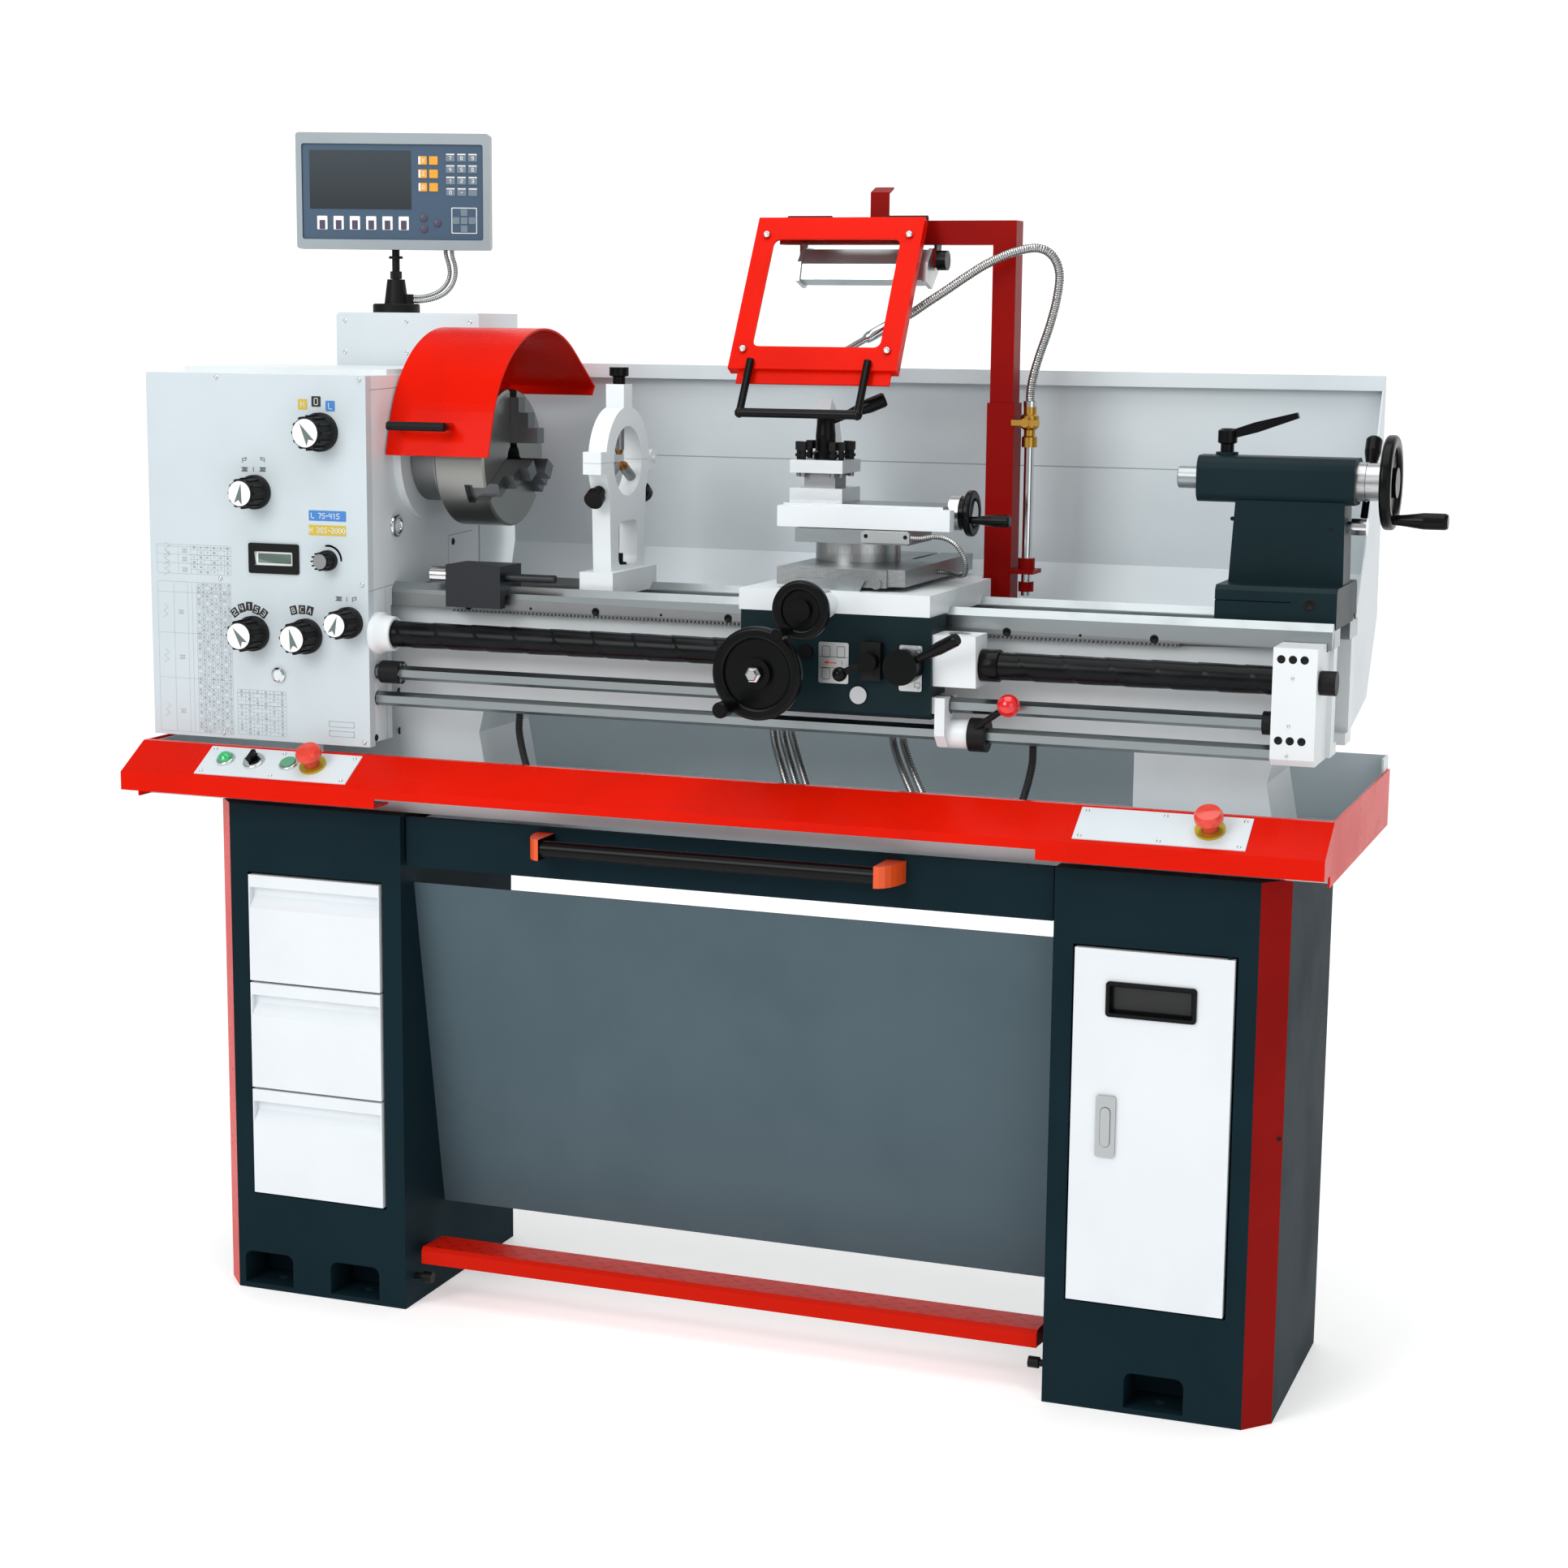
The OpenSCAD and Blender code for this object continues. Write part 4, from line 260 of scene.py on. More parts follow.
def graduated(colour, rough, centre, axis, marks, band):
    """Metal dial: lines round an axis through centre, every fifth one longer, in the band (low, high)."""
    def recipe(name):
        paint = Paint(name, colour, rough, 1.0)
        place = paint.xyz()
        along = place[axis]
        first, second = [place[i] - centre[i] for i in range(3) if i != axis]
        turn = second.math("ARCTAN2", first) * (marks / (2 * math.pi)) + marks
        line = (turn.frac() < 0.16)
        tall = ((turn * 0.2).frac() < 0.2)
        level = (along - band[0]) * (1.0 / (band[1] - band[0]))
        ink = line * ((level < 0.45) * (1.0 - tall) + (level < 0.75) * tall) * (level > 0.0)
        paint.set("Base Color", ink.mix(colour, (0.02, 0.02, 0.02, 1.0)))
        paint.set("Metallic", 1.0 - ink)
        return paint
    return recipe


def spiral(name):
    """Oiled spring strip wound into a tube: each turn overlaps the next, so a seam runs round at a slant."""
    paint = Paint(name, "060708", 0.2, Specular_IOR_Level=0.12)
    smear = paint.noise(14, (4, 1, 1), 4.0)
    paint.set("Roughness", 0.14 + smear * 0.25)
    paint.set("Base Color", smear.smooth(0.3, 0.8).mix("060708", "15171a"))
    paint.bump(smear, 0.15)
    return paint


def chequered(name):
    """Checker plate: two crossing sets of raised lines."""
    paint = Paint(name, "9a9d9f", 0.35, 1.0)
    x, y, z = paint.xyz()
    first = ((x + z) * 0.4).frac()
    second = ((x - z) * 0.4).frac()
    raised = (first < 0.35).math("MAXIMUM", second < 0.35)
    paint.set("Base Color", raised.mix("55585a", "c6c9ca"))
    paint.bump(raised, 0.5)
    return paint


def tread(name):
    """Red checker tread: short raised bars that lie crosswise in turn, under gloss paint."""
    paint = Paint(name, "cb1905", 0.3, Specular_IOR_Level=0.06)
    x, y, z = paint.xyz()
    across, along = (x + y * 1.2) * 0.028, (y * 1.2 - x) * 0.028
    odd = (across.math("FLOOR") + along.math("FLOOR")).math("MODULO", 2.0).math("ABSOLUTE").smooth(0.4, 0.6)
    u, v = across.frac() - 0.5, along.frac() - 0.5
    long, short = odd.mix(u, v), odd.mix(v, u)
    bar = (1.0 - (long * long * 6.0 + short * short * 130.0).smooth(0.6, 1.0)) * (y > -156.0)
    paint.set("Base Color", bar.mix("c61804", "a31203"))
    paint.set("Roughness", 0.32 + paint.noise(30) * 0.14)
    paint.bump(bar + paint.noise(2.4) * 0.08, 1.2)
    return paint


def readout(name):
    """Liquid crystal pane: grey green with a faint lighter band."""
    paint = Paint(name, "64786f", 0.12, Coat_Weight=1.0)
    x, y, z = paint.xyz()
    band = ((z + x * 0.2) * 0.03).frac().smooth(0.2, 0.9)
    paint.set("Base Color", band.mix("55695f", "76897f"))
    return paint


def screen(name):
    """Switched off screen: dark glass with a soft sheen."""
    paint = Paint(name, "2c3338", 0.1, Coat_Weight=0.6)
    x, y, z = paint.xyz()
    sheen = ((z - 1560.0) * 0.006).smooth(0.2, 1.0)
    paint.set("Base Color", sheen.mix("272d31", "3b444a"))
    return paint


def armour(name):
    """Interlocked metal conduit: bright crests, and dark grooves that are painted shade, along its own length
    coordinate.
    """
    paint = Paint(name, "b4b6b5", 0.3, 1.0)
    length = paint.root.node("ShaderNodeAttribute", attribute_name="along", out=2)
    groove = (length * 0.33).frac()
    # the grooves are painted darker: painted shade in the creases between the crests
    dark = (groove < 0.32)
    paint.set("Base Color", dark.mix("b9bab8", "4a4b4a"))
    paint.set("Roughness", 0.28 + dark * 0.25)
    return paint


RECIPES = {
    "cream": powder("d6dfe3", "cad4d8", 0.34, 1.8, 0.03),
    "cover_cream": powder("c6d1d6", "bdc8cd", 0.34, 1.8, 0.03),
    "casting": powder("e0e6e8", "d2d9db", 0.36, 6.0, 0.12),
    "slate": powder("16282f", "112127", 0.45, 1.6, 0.06, shine=0.02),
    "slate_panel": powder("4e5f67", "45565e", 0.45, 1.6, 0.05, shine=0.15),
    "slate_cast": powder("15272c", "0f1f24", 0.36, 5.0, 0.14, shine=0.08),
    "red": powder("d81602", "c01202", 0.24, 2.6, 0.2, 0.02, 0.05),
    # darker copy of the red paint: painted shade for red parts that face away from the light
    "deep_red": powder("8c0e0a", "780a08", 0.28, 2.6, 0.14, 0.02, 0.04),
    "black": plain("08090a", 0.26, Specular_IOR_Level=0.14),
    "matt_black": plain("0d0e0f", 0.5, Specular_IOR_Level=0.2),
    "steel": ground("9ea5a7", 0.3, (60, 1, 1)),
    "steel_y": ground("9fa5a6", 0.32, (1, 60, 1)),
    "steel_dull": ground("8b8d8e", 0.42, (1, 1, 30)),
    "chuck": turned_metal("8f8f8c", 0.33, AXIS),
    "jaw": turned_metal("6d7072", 0.36, AXIS),
    "dark_steel": ground("3a3c3f", 0.42, (20, 1, 1)),
    "bar_dial": graduated("b9bbbc", 0.28, (0, *AXIS), 0, 100, (871, 900)),
    "swivel_dial": graduated("b1b3b3", 0.3, (176, 18, 0), 2, 180, (1124, 1152)),
    "small_dial": graduated("b9bbbc", 0.28, (0, 6, 1195), 0, 60, (331, 340)),
    "chrome": plain("d4d6d8", 0.12, 1.0),
    "zinc": plain("b3b6b6", 0.38, 1.0),
    "brass": plain("b98f3f", 0.28, 1.0),
    "bronze": plain("9a6a34", 0.35, 1.0),
    "plate": ground("cfd2d2", 0.34, (30, 1, 1)),
    # lighter copy of ground steel: painted highlight for the strongly lit tool post
    "bright_steel": ground("d9dee0", 0.36, (40, 1, 1)),
    "scale_cover": powder("e2e7ea", "d5dbde", 0.3, 1.4, 0.02),
    "aluminium": ground("c3c5c7", 0.36, (40, 1, 1)),
    "glass": plain("f2f7f7", 0.04, Transmission_Weight=1.0, IOR=1.12),
    "lens": plain("dfe6e8", 0.1, Coat_Weight=1.0),
    "spiral": spiral,
    "chequered": chequered,
    "readout": readout,
    "screen": screen,
    "armour": armour,
    "drawer": powder("dfe5e9", "d6dce0", 0.3, 1.8, 0.03),
    "tread": tread,
    "white": plain("eef0ef", 0.35),
    "ink": plain("101214", 0.5),
    # grey for printed boxes and seams, also used as painted shade along the splash guard's fold
    "grey_ink": plain("9ba1a4", 0.5),
    "chart_ink": plain("7f878b", 0.5),
    "arrow": plain("5f6e6c", 0.45),
    "blue": plain("3f7fc4", 0.4),
    "yellow": plain("c9b13a", 0.4),
    "orange": plain("e2521b", 0.35),
    "key_orange": plain("e8a22e", 0.4),
    "key_grey": plain("6e7f8b", 0.45),
    "key_violet": plain("4a4258", 0.4),
    "panel_blue": plain("3c546b", 0.4),
    "bezel": powder("98a3a8", "8d989d", 0.45, 1.2, 0.03),
    "signal_green": plain("1fae62", 0.15, Coat_Weight=0.8),
    "start_green": plain("5c9c7a", 0.35),
    "stop_red": plain("dd3a26", 0.3, Coat_Weight=0.3),
    "stop_stem": plain("c9472f", 0.4),
    "ball_red": plain("d9141a", 0.16, Coat_Weight=0.6),
    "gold": plain("c2ac2f", 0.3, 0.6),
    "rubber": plain("141415", 0.6),
    "floor": plain("f4f4f4", 0.6, Emission_Color="ffffff", Emission_Strength=0.35),
}


# Surfaces

def grid(name, points, look, body, wrap=(False, False), smooth=True, attribute=None):
    """A surface P(i, j), or several of them with a leading axis, as quads between neighbours on the grid.

    points has the shape (..., rows, columns, 3) in mm; wrap joins the last row or column to the first.
    """
    p = np.asarray(points, float)
    p = p.reshape(-1, *p.shape[-3:])
    copies, rows, columns, _ = p.shape
    i = np.arange(rows if wrap[0] else rows - 1)[:, None]
    j = np.arange(columns if wrap[1] else columns - 1)[None, :]
    up, over = (i + 1) % rows, (j + 1) % columns
    quads = [i * columns + j, i * columns + over, up * columns + over, up * columns + j]
    quads = np.stack(quads, -1).reshape(-1, 4)
    quads = (quads[None] + (np.arange(copies) * rows * columns)[:, None, None]).reshape(-1, 4)
    me = bpy.data.meshes.new(name)
    me.vertices.add(p.size // 3)
    me.vertices.foreach_set("co", (p * MM).ravel())
    me.loops.add(quads.size)
    me.loops.foreach_set("vertex_index", quads.ravel())
    me.polygons.add(len(quads))
    me.polygons.foreach_set("loop_start", np.arange(0, quads.size, 4))
    me.polygons.foreach_set("use_smooth", np.full(len(quads), smooth))
    me.update(calc_edges=True)
    if attribute is not None:
        layer = me.attributes.new("along", "FLOAT", "POINT")
        layer.data.foreach_set("value", np.asarray(attribute, np.float32).ravel())
    me.materials.append(material(look))
    obj = bpy.data.objects.new(name, me)
    bpy.context.scene.collection.objects.link(obj)
    if body:
        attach(obj, body)
    return obj


def axes(normal, up):
    """Right, up and outward unit vectors of a flat place that faces along normal."""
    n = np.asarray(normal, float) / np.linalg.norm(normal)
    v = np.asarray(up, float) - np.dot(up, n) * n
    v /= np.linalg.norm(v)
    return np.cross(v, n), v, n


FRONT = axes(-Y_AXIS, Z_AXIS)
SLANT = axes((0, -math.sin(SLOPE), math.cos(SLOPE)), (0, math.cos(SLOPE), math.sin(SLOPE)))
SHIELD = axes((0, -math.cos(LEAN), math.sin(LEAN)), Z_AXIS)
FACE = axes((math.sin(TURN), -math.cos(TURN), 0), Z_AXIS)
END = axes(X_AXIS, Z_AXIS)
TOP = axes(Z_AXIS, Y_AXIS)


def rounded(w, h, r, steps=5):
    """Outline (u, v) of a w by h rectangle with corners of radius r."""
    turn = (np.arange(4)[:, None] * 90 + np.linspace(0, 90, steps)[None]).ravel()
    a = np.radians(turn)
    mid = np.radians(np.repeat([45, 135, 225, 315], steps))
    sign = np.stack([np.sign(np.cos(mid)), np.sign(np.sin(mid))], -1)
    return sign * (np.array([w, h]) / 2 - r) + r * np.stack([np.cos(a), np.sin(a)], -1)


def plates(name, look, body, base, places, w, h, r=0.5, t=0.3, tilt=0.0):
    """Thin plates P(k, s) on a flat place: outline s scaled to the middle, top, rim and foot by row k."""
    u, v, n = base
    c, s = np.cos(np.radians(tilt)), np.sin(np.radians(tilt))
    flat = rounded(w, h, r) @ np.array([[c, s], [-s, c]])
    edge = flat[:, :1] * u + flat[:, 1:] * v
    top = edge * 0.999 * (1 - 0.15 / max(w, h)) + n * t
    rows = np.stack([edge * 0 + n * t, top, edge + n * (t - 0.1), edge])
    centres = np.atleast_2d(np.asarray(places, float))[:, None, None, :]
    return grid(name, rows[None] + centres, look, body, (False, True), smooth=False)


def turned(name, look, body, places, axis, profile, steps=32, up=None, smooth=True):
    """Turned shapes P(l, a) = c + l n + r (u cos a + v sin a) with (r, l) from the profile."""
    if up is None:
        up = Y_AXIS if abs(axis[1]) < 0.9 * np.linalg.norm(axis) else Z_AXIS
    u, v, n = axes(axis, up)
    a = np.linspace(0, 2 * math.pi, steps, endpoint=False)
    ring = np.cos(a)[:, None] * u + np.sin(a)[:, None] * v
    r, l = np.asarray(profile, float).T
    shape = r[:, None, None] * ring[None] + l[:, None, None] * n
    centres = np.atleast_2d(np.asarray(places, float))[:, None, None, :]
    return grid(name, shape[None] + centres, look, body, (False, True), smooth)


def flowing(points, step=2.0):
    """A smooth line through points: Catmull-Rom pieces sampled about every step mm."""
    p = np.asarray(points, float)
    p = np.concatenate([[2 * p[0] - p[1]], p, [2 * p[-1] - p[-2]]])
    count = int(max(4, np.linalg.norm(np.diff(p, axis=0), axis=1).max() / step))
    t = np.linspace(0, 1, count, endpoint=False)[None, :, None]
    a, b, c, d = (p[i:len(p) - 3 + i][:, None, :] for i in range(4))
    line = 2 * b + (c - a) * t + (2 * a - 5 * b + 4 * c - d) * t ** 2 + (3 * b - a - 3 * c + d) * t ** 3
    return np.concatenate([0.5 * line.reshape(-1, 3), p[-2:-1]])


def hose(name, look, body, points, d, rib=0.0, pitch=3.0, steps=14, ref=(0.31, 0.9, 0.3), step=1.2):
    """A tube P(i, a) = c(i) + r(i) (u cos a + v sin a) along a smooth line; r dips by rib every pitch mm."""
    line = flowing(points, step)
    tangent = np.gradient(line, axis=0)
    tangent /= np.linalg.norm(tangent, axis=1, keepdims=True)
    u = np.cross(tangent, np.asarray(ref, float))
    u /= np.linalg.norm(u, axis=1, keepdims=True)
    v = np.cross(tangent, u)
    along = np.concatenate([[0], np.cumsum(np.linalg.norm(np.diff(line, axis=0), axis=1))])
    r = d / 2 - rib * np.abs(np.sin(math.pi * along / pitch)) ** 3
    a = np.linspace(0, 2 * math.pi, steps, endpoint=False)
    ring = np.cos(a)[None, :, None] * u[:, None] + np.sin(a)[None, :, None] * v[:, None]
    return grid(name, line[:, None] + r[:, None, None] * ring, look, body, (False, True),
                attribute=np.repeat(along, steps))


def wound(name, look, xs, r, pitch, ledge, centre, steps=56):
    """A wound strip P(x, a): radius r - ledge * frac(x / pitch - a / 2 pi) ** 2 about a line along X."""
    x = np.arange(xs[0], xs[1] + 0.1, (xs[1] - xs[0]) / round((xs[1] - xs[0]) / 2.0))[:, None]
    a = np.linspace(0, 2 * math.pi, steps, endpoint=False)[None]
    radius = r - ledge * np.mod(x / pitch - a / (2 * math.pi), 1.0) ** 2
    points = np.stack([x + 0 * a, centre[0] + radius * np.cos(a), centre[1] + radius * np.sin(a)], -1)
    return grid(name, points[:, ::-1], look, None, (False, True))


def arrow_head(name, look, body, base, at, l, w, tilt):
    """An arrow head P(i, j) from two tails and the notch between them (j = 0) to its tip (j = 1)."""
    u, v, n = base
    c, s = math.cos(math.radians(tilt)), math.sin(math.radians(tilt))
    foot = np.array([[-w, -l], [0, -0.62 * l], [w, -l]])
    flat = np.stack([foot, np.broadcast_to([0, l], foot.shape)], 1) @ np.array([[c, s], [-s, c]])
    points = np.asarray(at, float) + flat[..., :1] * u + flat[..., 1:] * v
    return grid(name, points[::-1], look, body, smooth=False)


def outline(base, at, w, h, r=1.0):
    """Segments of a rounded rectangle's edge."""
    flat = rounded(w, h, r, 4)
    return lines(base, at, np.stack([flat, np.roll(flat, -1, 0)], 1))


STROKES = {
    "0": [[(0, 0), (1, 0), (1, 1.6), (0, 1.6), (0, 0)]], "1": [[(0.2, 1.3), (0.55, 1.6), (0.55, 0)]],
    "2": [[(0, 1.6), (1, 1.6), (1, 0.8), (0, 0.8), (0, 0), (1, 0)]],
    "3": [[(0, 1.6), (1, 1.6), (1, 0), (0, 0)], [(0.2, 0.8), (1, 0.8)]],
    "4": [[(0, 1.6), (0, 0.6), (1, 0.6)], [(0.75, 1.6), (0.75, 0)]],
    "5": [[(1, 1.6), (0, 1.6), (0, 0.85), (1, 0.85), (1, 0), (0, 0)]],
    "6": [[(1, 1.6), (0, 1.6), (0, 0), (1, 0), (1, 0.8), (0, 0.8)]], "7": [[(0, 1.6), (1, 1.6), (0.4, 0)]],
    "8": [[(0, 0), (1, 0), (1, 1.6), (0, 1.6), (0, 0)], [(0, 0.8), (1, 0.8)]],
    "9": [[(0, 0), (1, 0), (1, 1.6), (0, 1.6), (0, 0.8), (1, 0.8)]],
    "A": [[(0, 0), (0.5, 1.6), (1, 0)], [(0.2, 0.55), (0.8, 0.55)]],
    "B": [[(0, 0), (0, 1.6), (0.8, 1.5), (0.8, 0.9), (0, 0.8), (1, 0.7), (1, 0.1), (0, 0)]],
    "C": [[(1, 1.4), (0.7, 1.6), (0.2, 1.6), (0, 1.3), (0, 0.3), (0.2, 0), (0.7, 0), (1, 0.2)]],
    "H": [[(0, 0), (0, 1.6)], [(1, 0), (1, 1.6)], [(0, 0.8), (1, 0.8)]], "L": [[(0, 1.6), (0, 0), (1, 0)]],
    "-": [[(0.1, 0.8), (0.9, 0.8)]], " ": [], "I": [[(0.5, 0), (0.5, 1.6)]],
    "X": [[(0, 0), (1, 1.6)], [(0, 1.6), (1, 0)]], "Z": [[(0, 1.6), (1, 1.6), (0, 0), (1, 0)]],
}


def ribbons(name, look, body, base, segments, width):
    """Flat strokes P(s, t) = p + s (q - p) + t m for segments (p, q) in mm, m across them."""
    seg = np.asarray(segments, float)
    u, v, n = base
    d = seg[:, 1] - seg[:, 0]
    d /= np.linalg.norm(d, axis=1, keepdims=True)
    m = np.cross(np.asarray(n)[None], d) * width / 2
    ext = d * width / 2
    a, b = seg[:, 0] - ext, seg[:, 1] + ext
    shape = np.stack([np.stack([a - m, a + m], 1), np.stack([b - m, b + m], 1)], 1)
    return grid(name, shape, look, body, smooth=False)


def written(text, at, base, height, gap=0.35, tilt=0.0):
    """Segments of the strokes of a short text, centred at a place."""
    u, v, n = base
    scale = height / 1.6
    half = (len(text) + gap * (len(text) - 1)) / 2
    c, s = math.cos(math.radians(tilt)), math.sin(math.radians(tilt))
    out = []
    for k, letter in enumerate(text):
        for line in STROKES[letter]:
            q = np.asarray(line, float) + [k * (1 + gap) - half, -0.8]
            q = (q * scale) @ np.array([[c, s], [-s, c]])
            p = np.asarray(at, float) + q[:, :1] * u + q[:, 1:] * v
            out.extend(zip(p[:-1], p[1:]))
    return out


def lines(base, at, pairs):
    """Segments in the flat place's own (u, v) coordinates round at."""
    u, v, n = base
    q = np.asarray(pairs, float)
    return np.asarray(at, float) + q[..., :1] * u + q[..., 1:] * v


def dome_screws(name, body, places, axis, d=9.0, look="chrome"):
    """Dome screws with a socket, all in one mesh."""
    r = d / 2
    profile = [(r, -0.5), (r, 0), (r * 0.95, r * 0.2), (r * 0.7, r * 0.5), (r * 0.42, r * 0.62),
               (r * 0.38, r * 0.25), (0, r * 0.25)]
    return turned(name, look, body, places, axis, profile, 20)


def socket_screws(name, body, places, axis, d=10.0, look="matt_black"):
    """Sunk cap screws: a rim, a face and a hexagon socket."""
    r = d / 2
    profile = [(r, 0.05), (r * 0.9, 0.5), (r * 0.52, 0.5), (r * 0.5, 0.1), (0, 0.1)]
    return turned(name, look, body, places, axis, profile, 18)


# Painting of the CAD nodes

def paint(node, base, *rules):
    """Gives a node its material, and others to the faces that a rule's test of (centre, normal) picks."""
    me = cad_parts[node].data
    count = len(me.polygons)
    centre, normal = np.empty(count * 3), np.empty(count * 3)
    me.polygons.foreach_get("center", centre)
    me.polygons.foreach_get("normal", normal)
    c, n = centre.reshape(-1, 3).T * 1000, normal.reshape(-1, 3).T
    me.materials.clear()
    me.materials.append(material(base))
    index = np.zeros(count, np.int32)
    for k, (look, test) in enumerate(rules, 1):
        me.materials.append(material(look))
        index[test(c, n)] = k
    me.polygons.foreach_set("material_index", index)


def inside(x=None, y=None, z=None):
    """Test for faces whose centre lies within the given ranges."""
    def test(c, n):
        keep = np.ones(c.shape[1], bool)
        for value, limits in zip(c, (x, y, z)):
            if limits:
                keep &= (value >= limits[0]) & (value <= limits[1])
        return keep
    return test


def near_line(point, along, r, low=-1e9, high=1e9):
    """Test for faces within r of a line and between two distances along it."""
    p = np.asarray(point, float)[:, None]
    d = np.asarray(along, float)
    d = d / np.linalg.norm(d)

    def test(c, n):
        q = c - p
        t = d @ q
        off = np.linalg.norm(q - t * d[:, None], axis=0)
        return (off <= r) & (t >= low) & (t <= high)
    return test


def both(*tests):
    """Test for faces that pass all the given tests."""
    def test(c, n):
        keep = np.ones(c.shape[1], bool)
        for t in tests:
            keep &= t(c, n)
        return keep
    return test


def facing(axis, least):
    """Test for faces that look along axis."""
    d = np.asarray(axis, float)
    return lambda c, n: d @ n >= least


def leaned(c):
    """Distances in front of and up from the shield's hinge, in the leaned frame."""
    y, z = c[1] - SHIELD_HINGE[1], c[2] - SHIELD_HINGE[2]
    return y * math.cos(LEAN) - z * math.sin(LEAN), y * math.sin(LEAN) + z * math.cos(LEAN)


# Control knobs on the cover: x, z, diameter, length
KNOBS = [(-583, 1291, 56, 46), (-692, 1202, 50, 46), (-700, 995, 52, 44), (-612, 995, 52, 44),
         (-542, 1018, 46, 44)]
# Small selector and oil sight on the cover: a point on the axis
SELECTOR = (-574, 0, 1107)
OIL_SIGHT = (-658.5, 0, 936)


# Settings

def number(name, description, default, **more):
    """A setting that holds one number."""
    return bpy.props.FloatProperty(name=name, description=description, default=default, **more)


class LatheSettings(bpy.types.PropertyGroup):
    """Sizes of the drawn details, and the stage."""
    screw_d: number("Dome screws", "Diameter of the panel screws in mm", 9.0)
    ink_w: number("Ink", "Width of printed lines in mm", 0.9)
    conduit_pitch: number("Conduit pitch", "Rib spacing of conduits in mm", 3.0)
    spiral_pitch: number("Spiral pitch", "Lead of the spiral covers in mm", 62.0)
    key_light: number("Key light", "Strength of the key light", 105.0, unit="POWER")
    fill_light: number("Fill light", "Strength of the fill light", 55.0, unit="POWER")
    yaw: number("Yaw", "Camera turn to the left", math.radians(20.21), subtype="ANGLE")
    pitch: number("Pitch", "Camera tilt downwards", math.radians(9.36), subtype="ANGLE")
    roll: number("Roll", "Camera roll", math.radians(-0.57), subtype="ANGLE")
    lens: number("Lens", "Focal length on a 36 mm sensor", 64.58, unit="CAMERA")
    eye: bpy.props.FloatVectorProperty(
        name="Camera place", description="Place of the camera", default=(1.452, -3.743, 1.456),
        subtype="XYZ", unit="LENGTH")


class Piece(bpy.types.Operator):
    """Shared behaviour of the operators: build, and report failure by raising."""
    bl_options = {"REGISTER", "UNDO"}

    def execute(self, context):
        self.build(context.scene.lathe)
        return {"FINISHED"}


class LATHE_OT_stand(Piece):
    """Cabinets, drawers, door, chip drawer and foot brake"""
    bl_idname = "lathe.stand"
    bl_label = "Stand"

    def build(self, s):
        corner = lambda c, n: (np.abs(n[0] * n[1]) > 0.2) & (c[1] < 0) & ((c[0] < -730) | (c[0] > 798))
        bolts = inside((-448.5, 525), (-170, -90), (30, 85))
        # the right cabinet's corner strip gets the darker copy of the red paint: painted shade, as that side
        # faces away from the light
        for node, strip in (("left_cabinet", "red"), ("right_cabinet", "deep_red")):
            paint(node, "slate", (strip, corner), ("matt_black", bolts))
        paint("back_panel", "slate_panel")
        for node in ("drawer_1", "drawer_2", "drawer_3"):
            paint(node, "drawer")
        paint("door", "drawer", ("black", inside((599, 724), (-192, -177), (549, 601))),
              ("zinc", inside((590, 620), (-192, -187.4), (355, 444))))
        paint("chip_drawer", "slate", ("cream", inside((-440, 516), (-160.2, 170), (675.5, 741))),
              ("black", lambda c, n: c[1] < -173.5),
              ("orange", lambda c, n: (c[1] < -173.5) & ((c[0] < -208.5) | (c[0] > 287.5))))
        paint("foot_pedal", "tread")
        plates("latch_grip", "zinc", "door", FRONT, [(605, -191, 399)], 13, 54, 6.4, 1.4)
        ribbons("latch_seam", "arrow", "door", FRONT, outline(FRONT, (605, -191.1, 399), 14, 55, 6.9), 0.8)
        plates("pull_shadow", "ink", "door", FRONT, [(661.5, -179.1, 574)], 104, 30, 2, 0.1)


